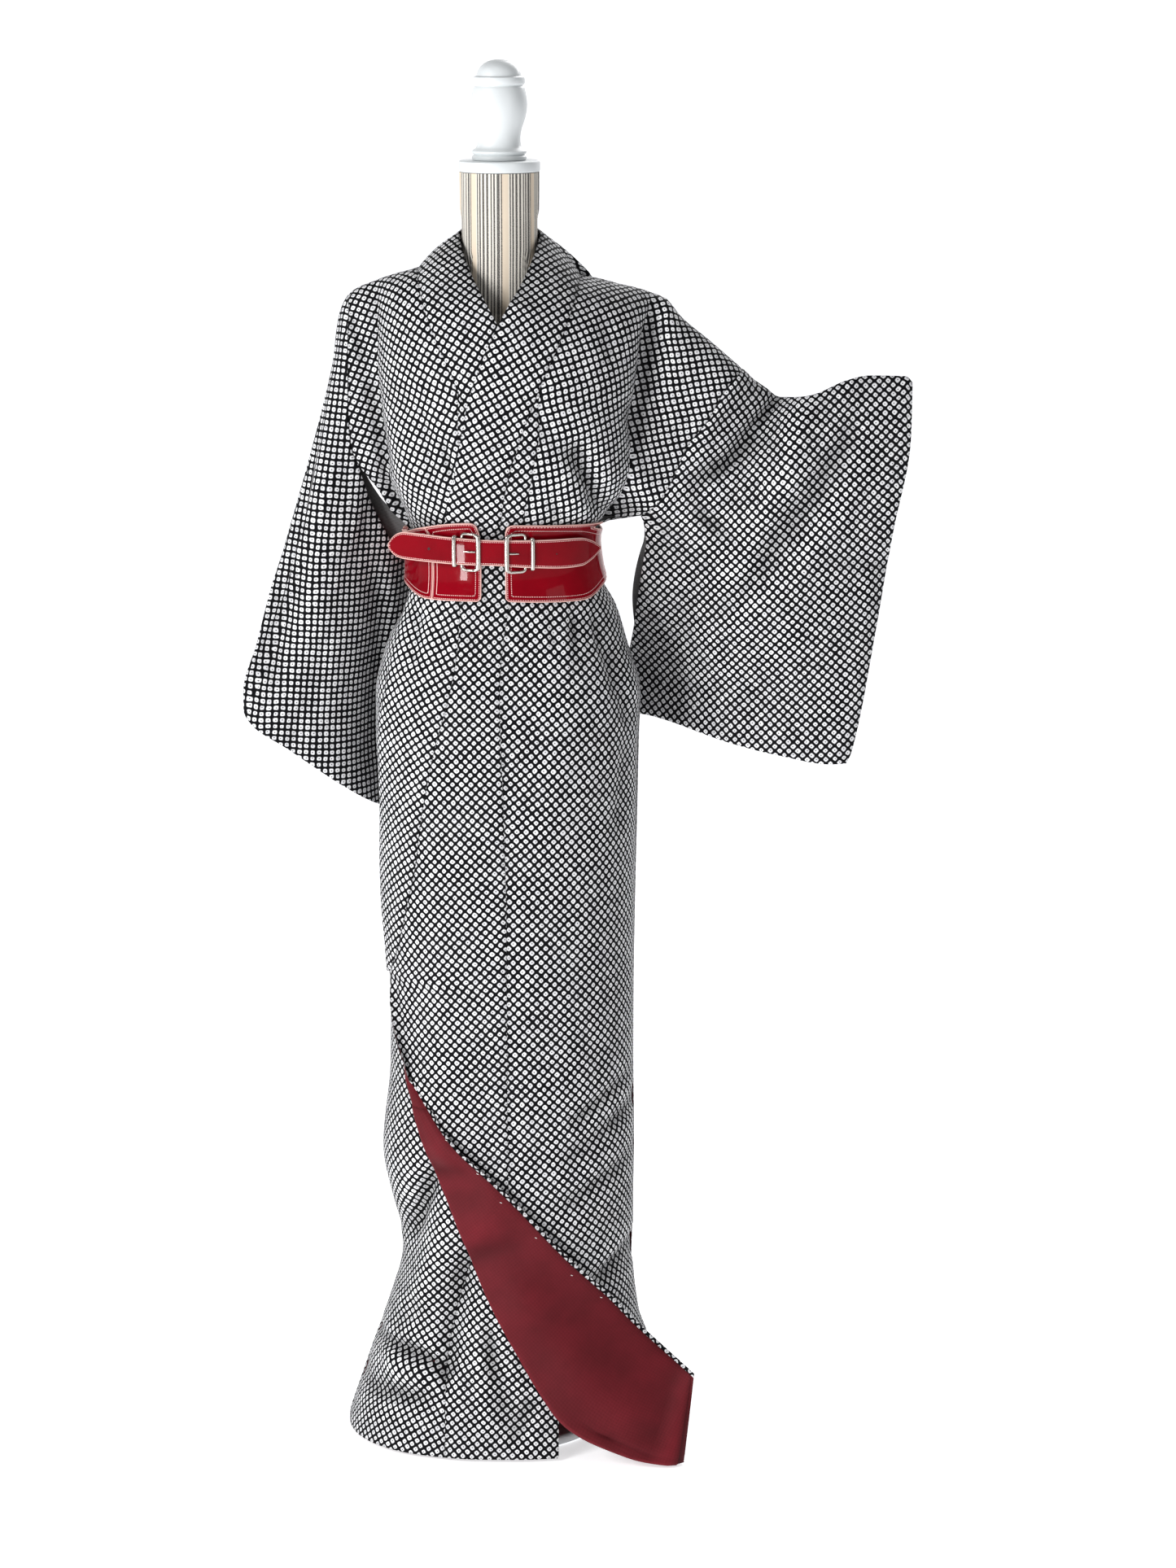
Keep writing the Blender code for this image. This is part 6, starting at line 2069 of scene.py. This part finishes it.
# Turned pieces: node, paint, slot and profile, as radius and height
profiles = {
    "formCap": ("form_cap", woodPaint, "painted_wood", (
        (0, 1565.3), (46.2, 1565.3), (47.9, 1566.2), (48.5, 1567.6), (48.5, 1576.0),
        (47.8, 1577.9), (46.2, 1578.7), (0, 1578.9),
    )),
    "formFinial": ("form_finial", woodPaint, "painted_wood", (
        (0, 1579), (31, 1579), (32.2, 1579.6), (32.6, 1581), (32.5, 1583.2), (31.4, 1584.6),
        (29.6, 1585.4), (31.2, 1586.4), (32.2, 1587.6), (32.3, 1589.6), (31.0, 1591.2),
        (28.4, 1592.4), (26.2, 1596), (25.2, 1601), (25.2, 1606), (25.9, 1611), (27.3, 1617),
        (29.4, 1623), (31.5, 1629.5), (33.0, 1637), (33.5, 1643), (33.2, 1650), (32, 1656.5),
        (30.4, 1662.8), (29.6, 1664.4), (28.4, 1665.4), (28.4, 1666.4), (29.8, 1667.2),
        (30.8, 1669), (30.7, 1673), (30, 1675.6), (28.2, 1676.6), (26.6, 1677.2),
        (25.8, 1680), (24.2, 1684.4), (21.6, 1688.2), (18, 1691.2), (13.8, 1693.6),
        (9, 1695.2), (4.5, 1695.9), (0, 1696),
    )),
    "formPole": ("form_pole", polePaint, "pole_metal", (
        (0, 12.3), (11.6, 12.3), (12, 12.8), (12, 839.2), (11.6, 839.7), (0, 839.7),
    )),
    "formBase": ("form_base", woodPaint, "painted_wood", (
        (0, 0), (122.6, 0), (124.4, 0.8), (125, 2.2), (125, 8.6), (123.8, 10.8), (121.2, 12),
        (0, 12),
    )),
}


# A turned piece: its profile is drawn as an edge and spun round the upright axis
def spunPiece(name, node, material, slotName, profile):
    mesh = bpy.data.meshes.new(name)
    points = [(radius / 1000, 0, height / 1000) for radius, height in profile]
    mesh.from_pydata(points, [(i, i + 1) for i in range(len(points) - 1)], [])
    piece = linked(name, mesh)

    def spin():
        bpy.ops.mesh.spin(steps=112, angle=2 * math.pi, center=(0, 0, 0), axis=(0, 0, 1))
        bpy.ops.mesh.select_all(action="SELECT")
        bpy.ops.mesh.remove_doubles(threshold=1e-6)

    facedOut(piece, spin)
    return joined(name, [piece], material, slotName, node)


for name, row in profiles.items():
    spunPiece(name, *row)
print("form made")

# Small tacks of white thread that hold the lining to the corner, as the photo shows
tacks = {
    "places": ((-63, 410), (-29, 370), (-1, 336), (40, 288), (84, 238), (122, 204)),
    "long": 3.2,
    "radius": 0.45,
}


def liningTacks():
    s = tacks
    face, normal = liningFace.reshape(-1, 3), liningFacing.reshape(-1, 3)
    parts = []
    for x, z in s["places"]:
        spot = np.argmin(abs(face[:, 0] - x) + abs(face[:, 2] - z))
        across = unit(np.cross(normal[spot], (0.4, 0.0, 1.0)))
        turn = math.atan2(across[2], math.hypot(across[0], across[1]))
        bpy.ops.mesh.primitive_uv_sphere_add(
            segments=12,
            ring_count=8,
            radius=1.0,
            location=(face[spot] - normal[spot] * 0.25) / 1000,
            rotation=(0, -turn, math.atan2(across[1], across[0])),
            scale=(s["long"] / 2000, s["radius"] / 1000, s["radius"] / 1000),
        )
        parts.append(bpy.context.object)
    return joined("liningTacks", parts, thread, "lining")


liningStitches = liningTacks()


# Plain pale floor and backdrop, and soft studio light
stageSet = {
    "colour": (0.93, 0.93, 0.935),
    "grey": (0.86, 0.86, 0.88),
    "glow": 0.62,
    "front": -14.0,
    "back": 9.0,
    "bend": 3.0,
    "tall": 9.0,
    "half": 18.0,
    "world": (0.98, 0.985, 1.0),
    "strength": 0.25,
    "lamps": (
        ((-3.1, -2.5, 2.9), (1.2, 1.2), 110.0, (0.05, 0.0, 0.95)),
        ((2.9, -3.0, 2.2), (1.8, 1.8), 16.0, (0.05, 0.0, 0.95)),
        ((-1.95, -3.1, 0.45), (0.5, 0.75), 60.0, (-0.04, -0.13, 1.09)),
        ((1.2, 2.3, 3.0), (1.8, 1.8), 60.0, (0.0, 0.0, 1.0)),
    ),
}


# One sheet of paper, from the floor up a wide bend to the wall behind
def backdrop(material):
    s = stageSet
    turn = np.linspace(0, math.pi / 2, 25)
    y = np.r_[s["front"], s["back"] + s["bend"] * np.sin(turn), s["back"] + s["bend"]]
    z = np.r_[0, s["bend"] * (1 - np.cos(turn)), s["tall"]] - 0.001
    points = [(x, b, c) for b, c in zip(y, z) for x in (-s["half"], s["half"])]
    faces = [(2 * k, 2 * k + 1, 2 * k + 3, 2 * k + 2) for k in range(len(y) - 1)]
    mesh = bpy.data.meshes.new("backdrop")
    mesh.from_pydata(points, [], faces)
    mesh.materials.append(material)
    for face in mesh.polygons:
        face.use_smooth = True
    linked("backdrop", mesh)


def studio():
    s = stageSet
    material, tree, shader = newMaterial("backdropPaper")
    share = ramp(tree, noise(tree, objectPlace(tree), 3.0).outputs[0], 0.3, 0.7, 0.0, 0.05)
    colour = blend(tree, share, s["colour"], s["grey"])
    glow = {"Emission_Color": s["world"], "Emission_Strength": s["glow"]}
    join(tree, shader, Base_Color=colour, Roughness=0.9, **glow)
    backdrop(material)
    world = bpy.data.worlds.new("studio")
    world.use_nodes = True
    ground = world.node_tree.nodes["Background"]
    join(world.node_tree, ground, Color=s["world"], Strength=s["strength"])
    bpy.context.scene.world = world
    bpy.context.scene.view_settings.view_transform = "Standard"
    for k, (place, size, power, aim) in enumerate(s["lamps"]):
        data = bpy.data.lights.new(f"lamp{k}", "AREA")
        data.shape = "RECTANGLE"
        data.size, data.size_y = size
        data.energy = power
        lamp = linked(f"lamp{k}", data)
        lamp.location = place
        x, y, z = np.array(aim) - np.array(place)
        turn = math.atan2(y, x) - math.pi / 2
        lamp.rotation_euler = (math.atan2(math.hypot(x, y), -z), 0, turn)


studio()
print("stage set")

# Each sheet's own cut in metres, how it is held, what carries it and its area where it is known
cuts = (
    (bodyLeft, (0.37, 2.98), "draped", ("formTorso",), 0.66),
    (bodyRight, (0.37, 2.98), "draped", ("formTorso",), 0.61),
    (okumiRight, (0.16, 1.33), "hung", ("bodyRight",), 0.145),
    (okumiLeft, (0.27, 1.34), "hung", ("bodyLeft",), 0.185),
    (collarPiece, (0.11, 1.95), "draped", ("bodyLeft", "bodyRight", "formTorso"), 0.16),
    (sleeveLeft, (0.34, 0.98), "hung", ("bodyLeft",), 0.30),
    (sleeveRight, (0.30, 0.92), "hung", ("bodyRight",), 0.20),
    (cornerLining, (0.27, 0.46), "folded", ("okumiLeft",), 0.072),
)
for piece, flat, held, carriers, area in cuts:
    measured = sum(face.area for face in piece.data.polygons) / 2
    print(piece.name, "area", round(measured, 3), "of", area)
    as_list(carriers)
